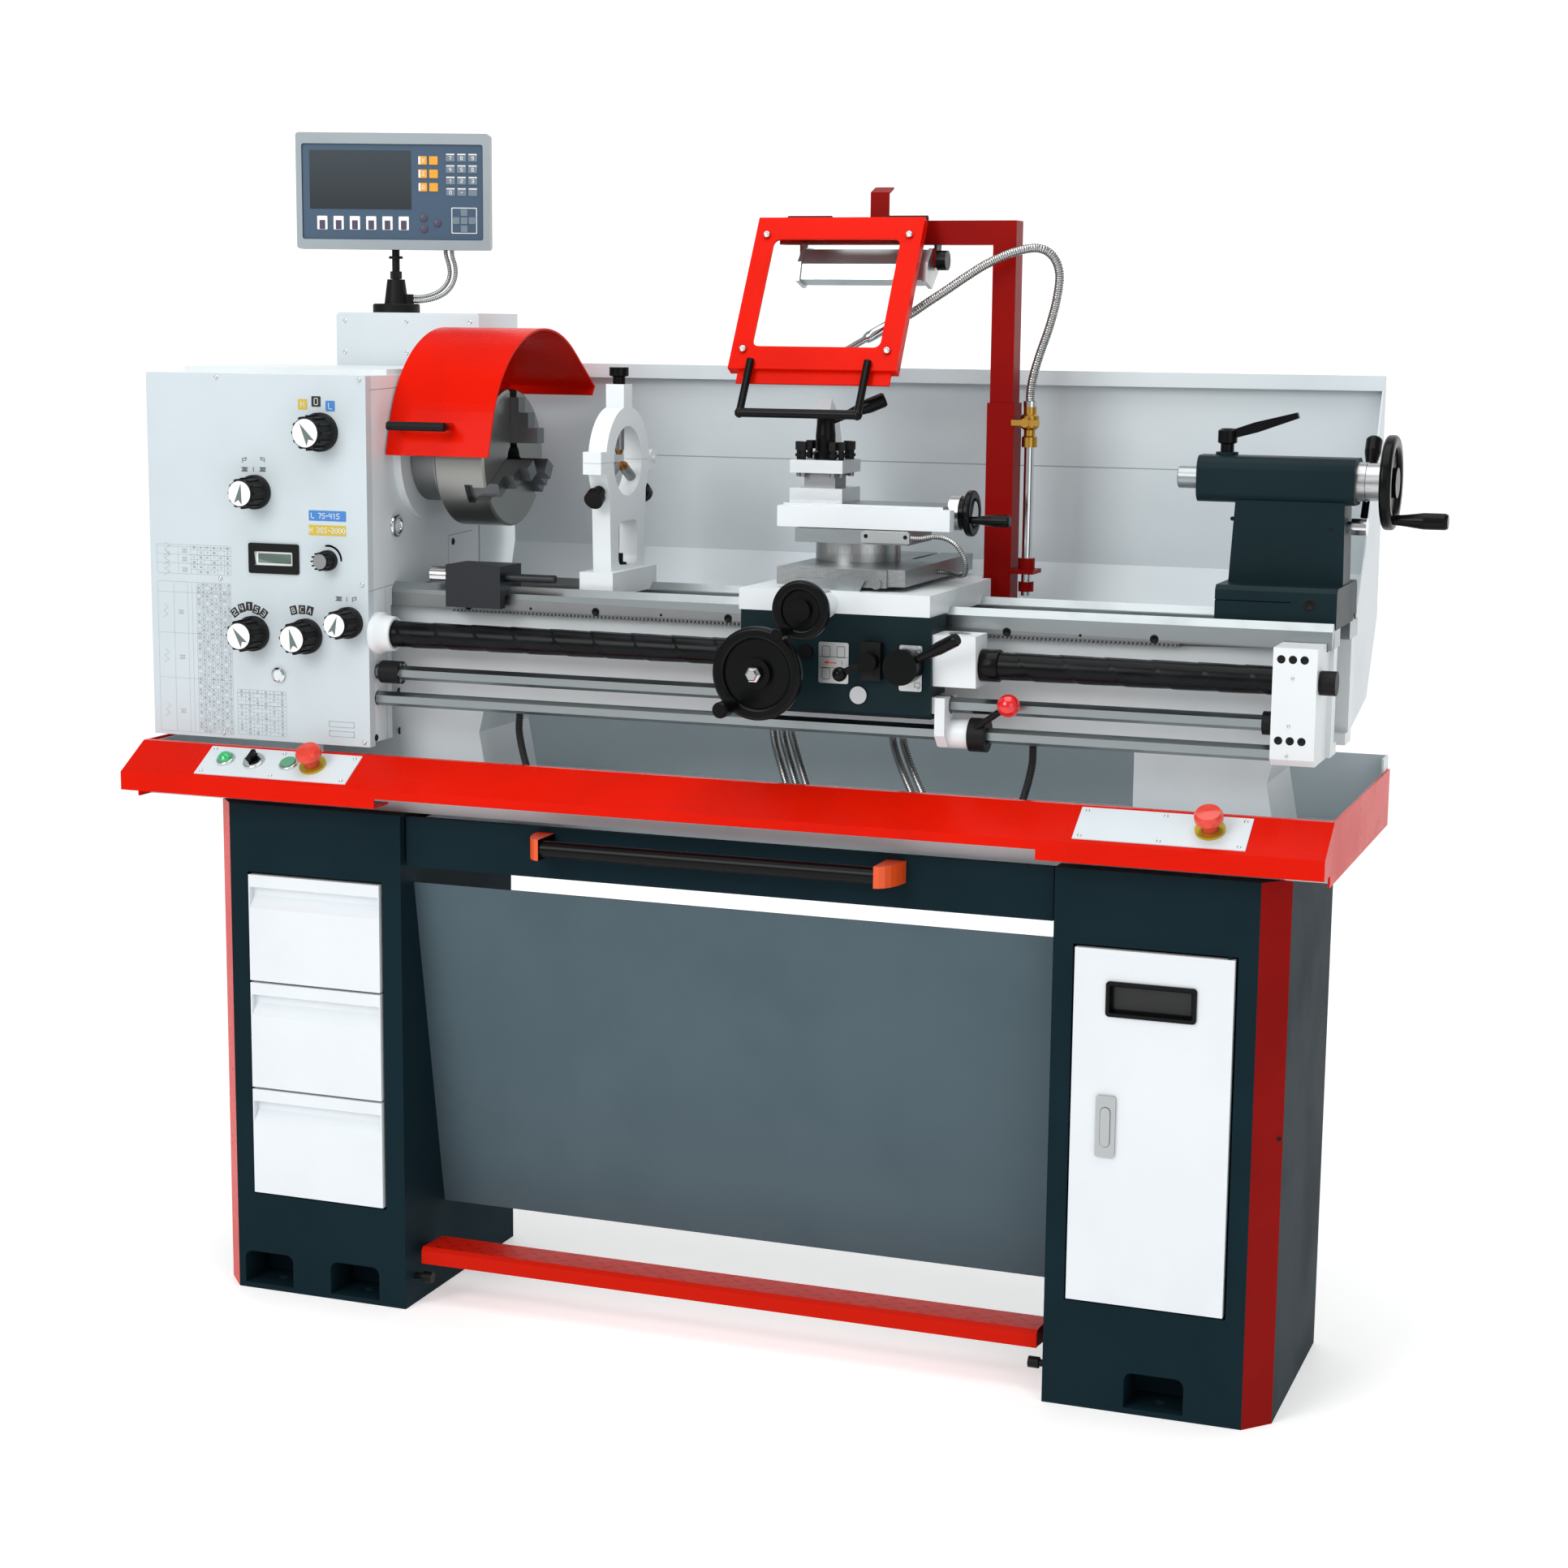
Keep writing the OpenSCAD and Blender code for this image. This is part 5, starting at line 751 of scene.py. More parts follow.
class LATHE_OT_tray(Piece):
    """Chip pan, console with its switches, and splash guard"""
    bl_idname = "lathe.tray"
    bl_label = "Tray"

    def build(self, s):
        foot, row_up = np.array([0, -228, 788.0]), 41.2
        signal_x, key_x, start_x, stop_x = -729, -682, -624, (-584, 733)
        u, v, n = SLANT
        proud = lambda c: n @ (c - foot[:, None])
        up = lambda c: v @ (c - foot[:, None])
        on_slope = lambda x, r: (lambda c, m: (np.hypot(c[0] - x, up(c) - row_up) < r) & (proud(c) > 1.7))
        beside = lambda c: ((c[0] < HEAD_SIDE) | (c[0] > 550)) & (np.abs(c[0]) < 800)
        # the pan's forward-facing faces under the console lip are painted dark slate: painted shade under the
        # lip
        paint("chip_pan", "cream", ("slate", lambda c, m: (m[1] < -0.5) & (c[1] < -170)))
        paint("console", "red",
              ("cream", lambda c, m: (proud(c) > 0.3) & (c[1] > -227) & (c[2] > 788) & beside(c)),
              ("chrome", on_slope(signal_x, 13)), ("chrome", on_slope(key_x, 16)),
              ("chrome", on_slope(start_x, 15)),
              ("gold", on_slope(stop_x[0], 24)), ("gold", on_slope(stop_x[1], 24)),
              ("signal_green", on_slope(signal_x, 11.6)),
              ("black", lambda c, m: on_slope(key_x, 11)(c, m) & (proud(c) > 5)))
        paint("splash_guard", "cream")
        # a thin grey line along the guard's fold: painted shade under the fold's ledge
        ribbons("splash_fold_shade", "grey_ink", "base", FRONT, [[(-300, 317.9, 1247), (850, 317.9, 1247)]], 1.6)
        paint("start_button", "start_green")
        for node in ("stop_button_left", "stop_button_right"):
            paint(node, "stop_red", ("stop_stem", lambda c, m: proud(c) < 16.5))
        spots = [foot + u * x + v * rise + n * 1.4
                 for x0, x1 in ((-766, -516), (557, 785))
                 for x in (x0 + 9, (x0 + x1) / 2, x1 - 9) for rise in (13, 63)]
        dome_screws("switch_plate_screws", "base", spots, n, s.screw_d * 0.7)
        rings = (("signal_ring", signal_x, 14, 11.1, 4.5), ("key_ring", key_x, 16.5, 14.4, 3.5),
                 ("start_ring", start_x, 14.5, 11.3, 4))
        for name, x, r, hole, h in rings:
            turned(name, "chrome", "base", [foot + u * x + v * row_up + n * 1.5], n,
                   [(r, 0), (r, h - 1.5), (r - 1.5, h), (hole, h), (hole, 0)])


class LATHE_OT_headstock(Piece):
    """Headstock, printed cover, spindle, chuck, guard and electrics box"""
    bl_idname = "lathe.headstock"
    bl_label = "Headstock"

    def build(self, s):
        paint("headstock", "casting", ("steel_dull", near_line(GUARD_PIN, X_AXIS, 9, 0.5)))
        skirts = [("matt_black", lambda c, n: c[1] < COVER_Y - 0.4)]
        ahead = lambda l: (lambda c, n: (c[1] < COVER_Y - l) & (n[1] < -0.9))
        faces = [("white", both(near_line((x, 0, z), Y_AXIS, d * 0.4), ahead(l - 1))) for x, z, d, l in KNOBS]
        paint("headstock_cover", "cover_cream", *skirts, *faces,
              ("chrome", near_line(OIL_SIGHT, Y_AXIS, 14)),
              ("lens", both(near_line(OIL_SIGHT, Y_AXIS, 8), facing(-Y_AXIS, 0.9))),
              ("chrome", both(near_line(SELECTOR, Y_AXIS, 12), ahead(25))),
              ("white", both(inside((-700, -630), (-155, -150), (1090, 1120)), facing(-Y_AXIS, 0.9))))
        plates("readout_pane", "readout", "base", FRONT, [(-663.5, COVER_Y + 1.45, 1106)], 55, 14, 0.6, 0.2)
        paint("spindle", "chuck", ("steel_dull", lambda c, n: c[0] < -443))
        for k in (1, 2, 3):
            paint(f"jaw_{k}", "jaw")
        paint("chuck_guard", "red", ("matt_black", inside(None, (-999, -108), (1285, 1318))),
              ("steel_dull", near_line(GUARD_PIN, X_AXIS, 8.2)))
        paint("electrics_box", "cream", ("matt_black", lambda c, n: c[2] > 1462.3))
        self.cover(s)
        self.side(s)
        dome_screws("electrics_box_screws", "base",
                    [(x, 225, z) for x in (-752, -643, -533) for z in (1400, 1448)], -Y_AXIS, s.screw_d)

    def cover(self, s):
        """Tiles, numbers, bars and tables on the front cover."""
        y = COVER_Y - 0.05
        at = lambda x, z: (x, y, z)
        tiles = (("tile_high", "yellow", -612, 1330, 15), ("tile_off", "ink", -590, 1334.5, 15),
                 ("tile_low", "blue", -567, 1328.5, 15), ("bar_low", "blue", -574.5, 1171, 61),
                 ("bar_high", "yellow", -575, 1150, 61))
        for name, look, x, z, w in tiles:
            plates(name, look, "base", FRONT, [at(x, z)], w, 15, 1.5, 0.3)
        spots = [(-731.5, 1024.4), (-719.5, 1031.5), (-707, 1034.5), (-695, 1030), (-683, 1025),
                 (-633, 1032), (-619, 1033.5), (-606, 1032.5)]
        tilts = (38, 18, 0, -18, -38, 14, 0, -14)
        for k, (p, tilt) in enumerate(zip(spots, tilts)):
            plates(f"number_tile_{k + 1}", "ink", "base", FRONT, [at(*p)], 11, 13, 0.6, 0.3, tilt)
        above = lambda x, z: (x, y - 0.45, z)
        marks = []
        for letter, p, tilt in zip("24153BCA", spots, tilts):
            marks += written(letter, above(*p), FRONT, 7.5, tilt=tilt)
        for text, x, z, height in (("0", -590, 1334.5, 9), ("H", -612, 1330, 8.5), ("L", -567, 1328.5, 8.5),
                                   ("H 365-2000", -575, 1150, 7), ("L 75-415", -578, 1171, 7)):
            marks += written(text, above(x, z), FRONT, height)
        ribbons("white_marks", "white", "base", FRONT, marks, s.ink_w)
        glyphs = []
        for x, z in ((-710, 1234.5), (-679.8, 1235), (-558, 1052)):
            glyphs += self.thread(above(x, z))
        for x, z, way in ((-710, 1248, 1), (-679.5, 1249, -1), (-532.6, 1052, 1)):
            hook = np.array([(-3, -3.5), (-3, 2), (3, 3.5), (3, 0), (-1, -1)]) * [way, 1]
            glyphs += list(lines(FRONT, above(x, z), np.stack([hook[:-1], hook[1:]], 1)))
        for x, z in ((-695, 1234.8), (-545, 1052)):
            glyphs += list(lines(FRONT, above(x, z), [[(0, -3), (0, 3)]]))
        ribbons("chart_glyphs", "ink", "base", FRONT, glyphs, 0.8)
        arc = np.radians(np.linspace(100, 2, 14))
        mid_x, _, mid_z = SELECTOR
        line = np.stack([mid_x + 21 * np.cos(arc), np.full(14, y - 0.1), mid_z + 21 * np.sin(arc)], -1)
        ribbons("dial_arc", "ink", "base", FRONT, np.stack([line[:-1], line[1:]], 1), 3.0)
        self.arrows()
        self.table("table_1", (-862, -736, 1078, 1121), (0.29, 0.46), 6, 6)
        self.table("table_2", (-862, -737, 842, 1066), (0.22, 0.41, 0.47, 0.53), 8, 40)
        self.table("table_3", (-730, -648, 844, 911), (), 6, 12)
        boxes = [seg for z in (868, 854) for seg in outline(FRONT, above(-556.5, z), 41, 8)]
        ribbons("entry_boxes", "grey_ink", "base", FRONT, boxes, 0.5)
        spots = [(x, COVER_Y, z) for z in (1366, 1073.5, 844) for x in (-754.5, -519.5)]
        dome_screws("cover_screws", "base", spots, -Y_AXIS, s.screw_d * 0.8)

    def thread(self, at):
        """Segments of a small sign for a screw thread: a bar with slanted lines across it."""
        slanted = [[(x, -2.6), (x + 0.8, 2.6)] for x in (-3.4, -1.7, 0, 1.7, 3.4)]
        return list(lines(FRONT, at, slanted + [[(-5, -2.6), (5, -2.6)], [(-5, 2.6), (5, 2.6)]]))

    def side(self, s):
        """Sight glass, screws and seams on the right side of the headstock and gearbox."""
        x = HEAD_SIDE
        seams = [[(-155, 1064), (-59, 1070)], [(98, 1128), (97, 1084)], [(98, 1128), (177, 1131)],
                 [(-144, 1352), (-60, 1354)], [(-104, 1064), (-104, 842)]]
        seams = [[(x + 0.05, y, z) for y, z in pair] for pair in seams]
        ribbons("seams", "grey_ink", "base", END, seams, 1.2)
        sight = [(x, -71.5, 1154.5)]
        turned("sight_glass", "chrome", "base", sight, X_AXIS,
               [(17, -0.5), (17, 4), (15, 6), (11, 6), (10.5, 3)])
        turned("sight_pane", "lens", "base", sight, X_AXIS, [(10.6, 3), (6, 3.4), (0, 3.5)])
        spots = [(-118.7, 1018), (-135.2, 908), (-66, 909), (-137, 849), (-65, 850), (113.5, 1118)]
        socket_screws("side_screws", "base", [(x, *p) for p in spots], X_AXIS, 11)
        turned("lead_flange", "casting", "base", [(x, ROD_Y, LEAD_Z)], X_AXIS,
               [(31, -0.5), (31, 9), (27, 12), (25, 28), (24, 30), (19.6, 30), (19.6, 0)], 40)

    def arrows(self):
        """Pointers on the white faces of the control knobs."""
        for k, ((x, z, d, l), turn) in enumerate(zip(KNOBS, (32, -10, 37, 15, -20))):
            at = (x, COVER_Y - l - 0.15, z)
            arrow_head(f"knob_pointer_{k + 1}", "arrow", "base", FRONT, at, d * 0.3, d * 0.13, turn)

    def table(self, name, corners, wide, columns, rows):
        """A chart: wide columns with sketches, up to parts of its width, then a ruled field of numbers."""
        x0, x1, z0, z1 = corners
        w, h = x1 - x0, z1 - z0
        middle = ((x0 + x1) / 2, COVER_Y - 0.1, (z0 + z1) / 2)
        start = x0 + (wide[-1] if wide else 0) * w
        dx, dz = (x1 - start) / columns, h / rows
        place = lambda x, z: (x, middle[1], z)
        upright = [x0 + part * w for part in wide] + [start + k * dx for k in range(1, columns)]
        level = [(start, z0 + k * dz) for k in range(1, rows)]
        level += [(x0, z0 + h * part) for part in (0.36, 0.66, 0.93)]
        rules = [[place(x, z0 + 1), place(x, z1 - 1)] for x in upright]
        rules += [[place(a, z), place(x1 - 1, z)] for a, z in level]
        ribbons(f"{name}_rules", "chart_ink", "base", FRONT, [*rules, *outline(FRONT, middle, w, h, 3)], 0.3)
        numbers = []
        for i in range(columns):
            for j in range(rows):
                if (i * 5 + j * 3 + i * j) % 4:
                    value = str(1 + (i * 7 + j * 13 + i * j) % 9)
                    value += str((i * 3 + j * 5) % 10) * ((i + j) % 3 > 0)
                    cell = place(start + (i + 0.5) * dx, z0 + (j + 0.5) * dz)
                    numbers += written(value, cell, FRONT, min(dz * 0.5, 2.6))
        if wide:
            span = wide[0] * w
            for part in (0.14, 0.5, 0.8):
                zig = np.array([(0.3, -9), (0.6, -4), (0.35, 1), (0.62, 6), (0.4, 11)]) * [span, 1]
                numbers += list(lines(FRONT, place(x0, z0 + h * part), np.stack([zig[:-1], zig[1:]], 1)))
                numbers += self.thread(place(x0 + w * (wide[0] + wide[1]) / 2, z0 + h * part))
        ribbons(f"{name}_numbers", "chart_ink", "base", FRONT, numbers, 0.42)


class LATHE_OT_bed(Piece):
    """Bed, rods, rod bracket and carriage stop"""
    bl_idname = "lathe.bed"
    bl_label = "Bed"

    def build(self, s):
        ways = lambda c, n: c[2] > 1039
        rack = lambda c, n: (c[1] < -63.5) & (c[2] > 1018) & (c[2] < 1053)
        paint("bed", "casting", ("steel", ways), ("steel_dull", rack))
        paint("rod_bracket", "casting")
        paint("lead_screw", "steel", ("matt_black", lambda c, n: c[0] > 857))
        paint("feed_rod", "steel", ("matt_black", lambda c, n: np.hypot(c[1] - ROD_Y, c[2] - 946) > 12))
        paint("control_rod", "steel")
        paint("carriage_stop", "dark_steel", ("chrome", lambda c, n: c[0] < -409.5))
        spots = [(x, -155, z) for x in (809.5, 824.5, 839.5) for z in (1033, 927.5)]
        socket_screws("bracket_screws", "base", spots, -Y_AXIS, 11)
        spots = [(x, -155, z) for x, z in ((825, 1009), (822, 947), (821, 908))]
        dome_screws("bracket_pins", "base", spots, -Y_AXIS, 5)
        on_rack = lambda *xs: [(x, -84, 1043) for x in xs]
        socket_screws("rack_screws", "base", on_rack(-386, -184, 19, 221, 424, 627), -Y_AXIS, 12)
        socket_screws("rack_pins", "base", on_rack(-286, -83, 323, 526), -Y_AXIS, 4)


class LATHE_OT_carriage(Piece):
    """Saddle, apron, slides, wheels and tool post"""
    bl_idname = "lathe.carriage"
    bl_label = "Carriage"

    def build(self, s):
        paint("saddle", "casting", ("steel_y", inside((130, 252), None, (1095.5, 1200))))
        paint("apron", "slate_cast", ("casting", lambda c, n: c[0] > 343.4),
              ("matt_black", lambda c, n: (c[1] < -167.5) & (c[1] > -181)),
              ("plate", lambda c, n: (c[1] < -167.5) & (c[1] > -168.5) & (n[1] < -0.9)),
              ("chrome", near_line((242, 0, 957), Y_AXIS, 13)))
        dial = (373, -134, 1043)
        turned("thread_dial", "plate", "carriage", [dial], Z_AXIS, [(15, -0.5), (15, 0.6), (14, 1), (0, 1)])
        spokes = [[(r * math.cos(a), r * math.sin(a)) for r in (4, 13)] for a in np.arange(8) * math.pi / 4]
        ribbons("dial_marks", "ink", "carriage", TOP, lines(TOP, np.add(dial, (0, 0, 1.1)), spokes), 0.7)
        self.plate(s)
        hub = lambda x, z, r, y: both(near_line((x, 0, z), Y_AXIS, r), lambda c, n: c[1] > y)
        paint("apron_handwheel", "black", ("chrome", hub(122, 988, 10, -222.5)))
        turned("apron_wheel_nut", "chrome", "apron_handwheel", [(122, -254, 988)], -Y_AXIS,
               [(11, 0), (11, 1.5), (8.5, 1.6), (8.5, 7), (7, 9), (0, 9)], 6, smooth=False)
        for node in ("half_nut_lever", "feed_lever"):
            paint(node, "black")
        ball = np.array([[451.9], [-166.8], [953.9]])
        paint("control_lever", "matt_black", ("ball_red", lambda c, n: np.linalg.norm(c - ball, axis=0) < 17))
        paint("cross_slide", "steel_y", ("chequered", both(facing(-Y_AXIS, 0.9), lambda c, n: c[1] < -135)))
        paint("cross_handwheel", "black", ("chrome", hub(190, 1078, 18, -244.5)))
        paint("compound_base", "steel", ("swivel_dial", near_line((176, 18, 0), Z_AXIS, 61, 0, 1152)),
              ("zinc", inside((207, 279), (-68, -57), (1154, 1171))))
        paint("top_slide", "steel", ("scale_cover", lambda c, n: c[1] < -39.5),
              ("small_dial", lambda c, n: (c[0] > 317.5) & (c[1] > -38)))
        paint("compound_handwheel", "black", ("chrome", near_line((0, 6, 1195), X_AXIS, 11)))
        # the tool post's plates take the lighter copy of ground steel: painted highlight
        paint("tool_post", "bright_steel", ("steel_dull", inside(None, None, (1226, 1246))),
              ("matt_black", lambda c, n: c[2] > 1264.4))
        paint("tool_post_lever", "black")

    def plate(self, s):
        """Signs on the feed plate and the half nut plate of the apron, and the reader's screws."""
        at = lambda x, z: (x, -168.1, z)
        glyphs = [seg for x in (195, 216) for z in (1014, 984) for seg in outline(FRONT, at(x, z), 11, 15, 2)]
        strokes = [[(-20, 8), (20, 8)], [(-20, -7), (20, -7)], [(12, 3), (12, -3)]]
        glyphs += list(lines(FRONT, at(205.5, 999), strokes))
        ribbons("feed_signs", "ink", "carriage", FRONT, glyphs, 0.7)
        ribbons("feed_arrow", "stop_red", "carriage", FRONT,
                lines(FRONT, at(202, 999), [[(-8, 0), (7, 0)], [(-8, 0), (-4, 2)], [(-8, 0), (-4, -2)]]), 1.5)
        nut = [seg for z in (1019, 975) for seg in outline(FRONT, at(325, z), 8, 6, 1)]
        ribbons("nut_signs", "ink", "carriage", FRONT, nut, 0.7)
        dome_screws("plate_screws", "carriage", [at(x, z) for x, z in ((327, 1025), (327, 969))], -Y_AXIS, 4)
        socket_screws("reader_screws", "compound_base", [(x, -67, 1164) for x in (215, 272)], -Y_AXIS, 6)


class LATHE_OT_shield(Piece):
    """Post, mast, tool shield, work lamp and coolant valve"""
    bl_idname = "lathe.shield"
    bl_label = "Shield"

    def build(self, s):
        foot = (381, 165, 0)
        pipe = near_line(foot, Z_AXIS, 17)
        # post and mast get the darker copy of the red paint: painted shade, as they face away from the light
        paint("shield_post", "deep_red", ("chrome", near_line(foot, Z_AXIS, 9, 0, 1281)),
              ("brass", both(pipe, inside(None, None, (1281, 1339)))),
              ("chrome", both(pipe, inside(None, None, (1338.5, 1400)))))
        paint("coolant_tap", "brass")
        paint("shield_mast", "deep_red",
              ("matt_black", lambda c, n: (c[2] > 1598.3) & (np.abs(np.abs(c[0] - 129) - 72) < 24)),
              ("black", lambda c, n: (c[0] > 246) & (c[0] < 266) & (c[1] < 165) & (c[2] < 1563)))
        paint("shield_frame", "red", ("matt_black", lambda c, n: leaned(c)[1] > -6.2),
              ("black", lambda c, n: (leaned(c)[1] < -262) & (leaned(c)[0] < -10)))
        paint("shield_window", "glass")
        paint("work_lamp", "aluminium", ("lens", lambda c, n: (n[1] < -0.3) & (n[2] < -0.3)))
        u, v, n = SHIELD
        spots = [SHIELD_HINGE + u * x + v * up + n * 17.2 for x in (3, 217) for up in (-36, -222)]
        dome_screws("shield_screws", "shield_frame", spots, n, s.screw_d * 1.2)


class LATHE_OT_tailstock(Piece):
    """Tailstock and steady rest"""
    bl_idname = "lathe.tailstock"
    bl_label = "Tailstock"

    def build(self, s):
        paint("tailstock", "slate_cast", ("bar_dial", lambda c, n: c[0] > 871.4))
        socket_screws("base_screw", "tailstock", [(827, -64, 1095.5)], -Y_AXIS, 17)
        socket_screws("body_screws", "tailstock", [(711, -9, 1201), (842, -9, 1191)], -Y_AXIS, 6)
        paint("quill", "steel")
        dial = both(near_line((0, *AXIS), X_AXIS, 26), lambda c, n: c[0] < 903)
        paint("tailstock_handwheel", "black", ("bar_dial", dial))
        paint("quill_lock", "black")
        paint("tailstock_clamp", "black", ("chrome", near_line((0, 32, 1193), X_AXIS, 12)))
        rules = []
        for turn in (120, -120):
            d = (0, -math.sin(math.radians(turn)), math.cos(math.radians(turn)))
            rules += self.finger(d, 81.5)
        foot_bolt = near_line((STEADY_X, AXIS[0], 0), Z_AXIS, 14, 1096.5, 1126)
        paint("steady_base", "casting", *rules, ("matt_black", foot_bolt))
        paint("steady_top", "casting", *self.finger(Z_AXIS, 110))

    def finger(self, d, knob):
        """Rules for a steady finger along d: steel rod, bronze tip and black knob beyond a distance."""
        middle = (STEADY_X, *AXIS)
        return [("steel_dull", near_line(middle, d, 8, 5, knob)), ("bronze", near_line(middle, d, 8, 5, 24)),
                ("black", near_line(middle, d, 16, knob, 150))]


class LATHE_OT_display(Piece):
    """Position display with its screen and keys"""
    bl_idname = "lathe.display"
    bl_label = "Display"

    def build(self, s):
        u, v, n = FACE
        corner = np.array([*STEM, 1739.0]) - u * 151.5 + n * 26

        def panel(c, m):
            across, down, out = np.stack([u, -v, n]) @ (c - corner[:, None])
            return (out < -1) & (out > -12) & (across > 8) & (across < 294) & (down > 16) & (down < 165)

        def key(name, look, spots, w, h, t=1.0):
            return plates(name, look, "display", FACE, [at(*p) for p in spots], w, h, 1.2, t)

        paint("display", "bezel", ("panel_blue", panel), ("matt_black", lambda c, m: c[2] < 1559.5))
        deep = -2.9
        at = lambda across, down, lift=0.0: corner + u * across - v * down + n * (deep + lift)
        key("screen_pane", "screen", [(100.5, 72)], 159, 90, 0.6)
        soft = [(40 + 25.6 * k, 138.5) for k in range(6)]
        key("soft_keys", "white", soft, 16, 21)
        tops = [at(a, d + 3, 1.0) for a, d in soft]
        plates("soft_key_faces", "key_violet", "display", FACE, tops, 9, 14, 1, 0.3)
        rows = (41.5, 62, 82.5)
        key("axis_keys", "key_orange", [(a, d) for a in (198.5, 215.5) for d in rows], 13.5, 13)
        tops = [at(193.5, d, 1.0) for d in rows]
        plates("axis_key_strips", "white", "display", FACE, tops, 3, 12, 0.5, 0.3)
        pad = [(242 + 17.5 * i, 36.5 + 17.6 * j) for j in range(4) for i in range(3)]
        key("number_keys", "key_grey", pad, 14, 12.5)
        tops = [at(a, d - 4.6, 1.0) for a, d in pad]
        plates("number_key_tops", "white", "display", FACE, tops, 13, 1.6, 0.5, 0.2)
        marks = []
        for letter, (a, d) in zip("7894561230-", pad):
            marks += written(letter, at(a, d + 1, 1.12), FACE, 5)
        for letter, d in zip("XZ0", rows):
            marks += written(letter, at(199.5, d, 1.12), FACE, 5.5)
        ribbons("key_marks", "white", "display", FACE, marks, 0.8)
        key("nav_outline", "white", [(263, 133.5)], 40, 40, 0.4)
        key("nav_pad", "panel_blue", [(263, 133.5)], 37.5, 37.5, 0.7)
        cross = [(263, 121), (263, 146), (250.5, 133.5), (275.5, 133.5), (263, 133.5)]
        key("nav_keys", "key_grey", cross, 10.5, 10.5, 1.4)
        spots = [at(*p) for p in ((199.5, 130), (200, 147), (221, 138))]
        turned("round_keys", "key_violet", "display", spots, n, [(6, 0), (6, 0.9), (5.2, 1.3), (0, 1.3)], 24)


def beside_stand(lead, side):
    """A display lead's points (out, up) in the row frame, turned with the display and beside its middle."""
    u, v, n = FACE
    return [np.array([*STEM, 1462.0]) + u * out + v * up - n * side for out, up in lead]


COOLANT = [(381, 165, 1346), (381, 165, 1358), (385, 164, 1382), (394, 162, 1412), (408, 158, 1450),
           (419, 154, 1490), (423, 149, 1525), (414, 142, 1549), (394, 134, 1559), (362, 125, 1553),
           (327, 117, 1537), (299, 110, 1519), (272, 104, 1500), (248, 99, 1484), (225, 94, 1468),
           (203, 89, 1456)]
NOZZLE = [(203, 89, 1456), (131, 69, 1412)]
SCALE = [(278, -62, 1163), (292, -62, 1163), (310, -63, 1166), (328, -66, 1165), (345, -69, 1157),
         (356, -68, 1142), (358, -60, 1127), (352, -46, 1116), (340, -24, 1111), (325, -2, 1110),
         (309, 8, 1112), (295, 8, 1112)]
LEADS = [[(27, 25), (38, 25), (50, 27), (62, 31), (73, 38), (81, 48), (85, 60), (84, 74), (80, 88), (79, 94),
          (79, 98)],
         [(27, 18), (38, 18), (52, 20), (66, 24.5), (79, 32), (89, 44), (94, 58), (94, 73), (90, 87),
          (89, 94), (89, 98)]]
CONDUITS = [(-318, -314, -300, -284, -276), (78, 86, 102, 118, 128), (92, 101, 117, 133, 143),
            (106, 116, 132, 148, 158), (256, 265, 283, 303, 313), (271, 281, 299, 319, 329),
            (457, 459, 458, 452, 446)]


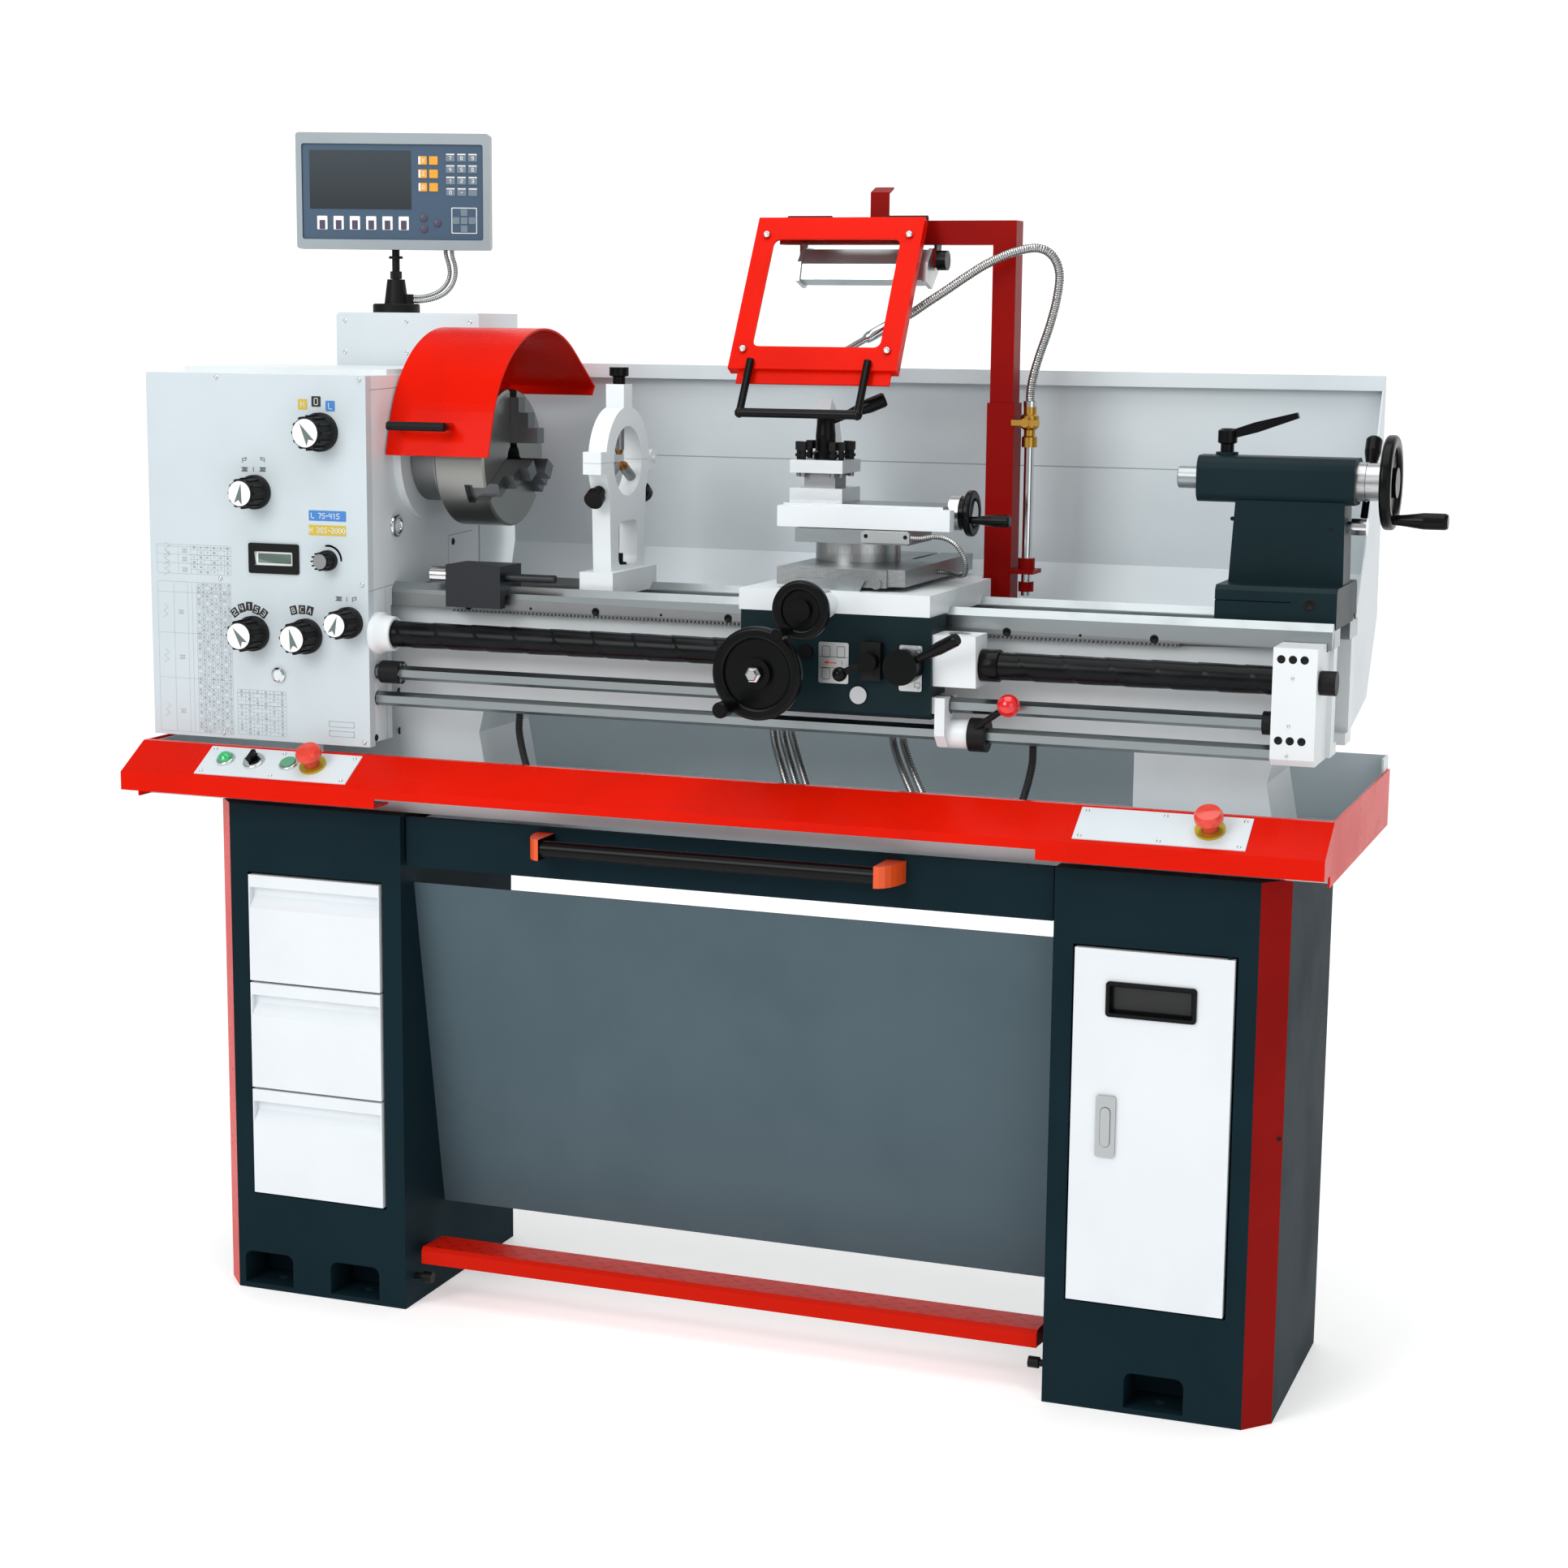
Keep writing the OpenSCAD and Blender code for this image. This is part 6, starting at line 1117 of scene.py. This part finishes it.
class LATHE_OT_cords(Piece):
    """Coolant hose, scale cable, display cables, conduits and spiral covers"""
    bl_idname = "lathe.cords"
    bl_label = "Cords"

    def free(self, obj, points, d, far_end, stiffness, lay, *nodes, with_pieces=()):
        """Hides the CAD nodes that the tube stands in for."""
        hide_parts(*nodes)

    def build(self, s):
        neck = hose("coolant_neck", "armour", "carriage", COOLANT, 13, 0.7, 4.0, 20)
        nozzle = self.nozzle()
        self.free(neck, COOLANT, 13, "fitting", "stiff", "taut", "coolant_hose", with_pieces=[nozzle])
        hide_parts("coolant_hose")
        cable = hose("scale_lead", "armour", None, SCALE, 7, 0.35, s.conduit_pitch)
        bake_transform(cable)
        self.free(cable, SCALE, 7, "object", "stiff", "loose", "scale_cable")
        for i in range(4):
            points = beside_stand(LEADS[i // 2], 3.5 if i % 2 else -3.5)
            look = "armour" if i < 3 else "rubber"
            lead = hose(f"display_lead_{i + 1}", look, None, points, 6, 0.25, s.conduit_pitch)
            points[0] * MM
            points[-1] * MM
            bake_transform(lead)
            self.free(lead, points, 6, "object", "medium", "hanging", "cables")
        self.covers(s)
        for k, (a, b, c, d, e) in enumerate(CONDUITS):
            points = [(a, -56, 895), (a, -56, 881), (b, -66, 861), (c, -84, 835), (d, -98, 803),
                      (e, -106, 773), (e, -106, 748)]
            outer = k in (0, len(CONDUITS) - 1)
            look, rib, pitch = ("rubber", 0.9, 4.2) if outer else ("armour", 0.5, s.conduit_pitch)
            pipe = hose(f"conduit_{k + 1}", look, "base", points, 11, rib, pitch)
            self.free(pipe, points, 11, "object", "stiff", "hanging", "cables")

    def covers(self, s):
        """Spiral covers of the lead screw, which stretch between fixed ends and apron, and their collars."""
        axis = (ROD_Y, LEAD_Z)
        for name, fixed, moving, out in (("left", HEAD_SIDE, 69.5, -X_AXIS), ("right", 799, 403.5, X_AXIS)):
            tube = wound(f"spiral_{name}", "spiral", sorted((fixed, moving)), 19, s.spiral_pitch, 0.8, axis)
            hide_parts("screw_covers")
            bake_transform(tube)
            ring = turned(f"collar_{name}", "black", "carriage", [(moving, *axis)], out,
                          [(19.2, 0.2), (21.5, 0.2), (22, 1), (22, 25), (21.5, 26), (19.2, 26)], 40)
            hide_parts("screw_covers")

    def nozzle(self):
        """Tapered nozzle at the end of the gooseneck: two turned steps along its last stretch."""
        start, end = np.array(NOZZLE, float)
        axis = end - start
        l = float(np.linalg.norm(axis))
        profile = [(6.5, 0), (8, 0.5), (8, 12), (7.4, 12.6), (7.4, 14), (8, 14.6), (8, 44), (7, 49), (5, 51),
                   (5, l - 1), (4.4, l), (3.4, l), (3.2, l - 6), (0, l - 6)]
        return turned("coolant_nozzle", "chrome", "carriage", [start], axis, profile, 24)


class LATHE_OT_stage(Piece):
    """Floor, light and camera"""
    bl_idname = "lathe.stage"
    bl_label = "Stage"

    def build(self, s):
        scene = bpy.context.scene
        scene.view_settings.view_transform = "Standard"
        self.floor()
        self.light("key", (-1.6, -4.4, 3.2), (0, 0, 0.9), 2.4, s.key_light)
        self.light("fill", (3.2, -3.0, 1.8), (0.2, 0, 0.8), 2.6, s.fill_light * 0.4)
        self.light("top", (0.2, -0.6, 3.9), (0, 0.2, 1.0), 3.0, s.fill_light * 1.1)
        world = scene.world or bpy.data.worlds.new("studio")
        scene.world = world
        world.use_nodes = True
        world.node_tree.nodes["Background"].inputs[0].default_value = (1, 1, 1, 1)
        world.node_tree.nodes["Background"].inputs[1].default_value = 0.4
        self.camera(s)

    def floor(self):
        """Backdrop P(i, j): a floor that rises in a wide arc into a wall, swept along X."""
        a = np.radians(np.linspace(0, 90, 20))
        y = np.concatenate([[-9000], 2500 + 1500 * np.sin(a), [4000]])
        z = np.concatenate([[0], 1500 - 1500 * np.cos(a), [7000]])
        x = np.array([-9000.0, 9000.0])
        points = np.stack(np.broadcast_arrays(x[None, :], y[:, None], z[:, None]), -1)
        grid("floor", points, "floor", None)

    def light(self, name, place, aim, size, watts):
        lamp = bpy.data.lights.new(name, "AREA")
        lamp.size, lamp.energy = size, watts
        obj = bpy.data.objects.new(name, lamp)
        bpy.context.scene.collection.objects.link(obj)
        away = np.subtract(place, aim)
        right, up, back = axes(away, Z_AXIS)
        obj.matrix_world = placed(right, up, back, place)

    def camera(self, s):
        cam = bpy.data.cameras.new("photo")
        cam.lens, cam.sensor_width, cam.sensor_fit = s.lens, 36.0, "HORIZONTAL"
        obj = bpy.data.objects.new("photo", cam)
        bpy.context.scene.collection.objects.link(obj)
        bpy.context.scene.camera = obj
        cy, sy, cp, sp = math.cos(s.yaw), math.sin(s.yaw), math.cos(s.pitch), math.sin(s.pitch)
        ahead = np.array([-sy * cp, cy * cp, -sp])
        level = np.array([cy, sy, 0.0])
        down = np.cross(ahead, level)
        right = level * math.cos(s.roll) + down * math.sin(s.roll)
        below = down * math.cos(s.roll) - level * math.sin(s.roll)
        obj.matrix_world = placed(right, -below, -ahead, s.eye)


def placed(right, up, back, place):
    """Matrix of an object with these axes at a place in metres."""
    return Matrix([[right[i], up[i], back[i], place[i]] for i in range(3)] + [[0, 0, 0, 1]])


PIECES = (LATHE_OT_stage, LATHE_OT_cords, LATHE_OT_stand, LATHE_OT_tray, LATHE_OT_headstock, LATHE_OT_bed,
          LATHE_OT_carriage, LATHE_OT_shield, LATHE_OT_tailstock, LATHE_OT_display)


class LATHE_PT_looks(bpy.types.Panel):
    """Settings and buttons in the sidebar"""
    bl_label = "Centre lathe"
    bl_space_type = "VIEW_3D"
    bl_region_type = "UI"
    bl_category = "Lathe"

    def draw(self, context):
        settings = context.scene.lathe
        for name in settings.bl_rna.properties.keys():
            if name not in ("rna_type", "name"):
                self.layout.prop(settings, name)
        for piece in PIECES:
            self.layout.operator(piece.bl_idname)


CLASSES = (LatheSettings, *PIECES, LATHE_PT_looks)


def register():
    for cls in CLASSES:
        bpy.utils.register_class(cls)
    bpy.types.Scene.lathe = bpy.props.PointerProperty(type=LatheSettings)


def unregister():
    del bpy.types.Scene.lathe
    for cls in reversed(CLASSES):
        bpy.utils.unregister_class(cls)


def main():
    register()
    for piece in PIECES:
        getattr(bpy.ops.lathe, piece.bl_idname.split(".")[1])()


if __name__ == "__main__":
    main()
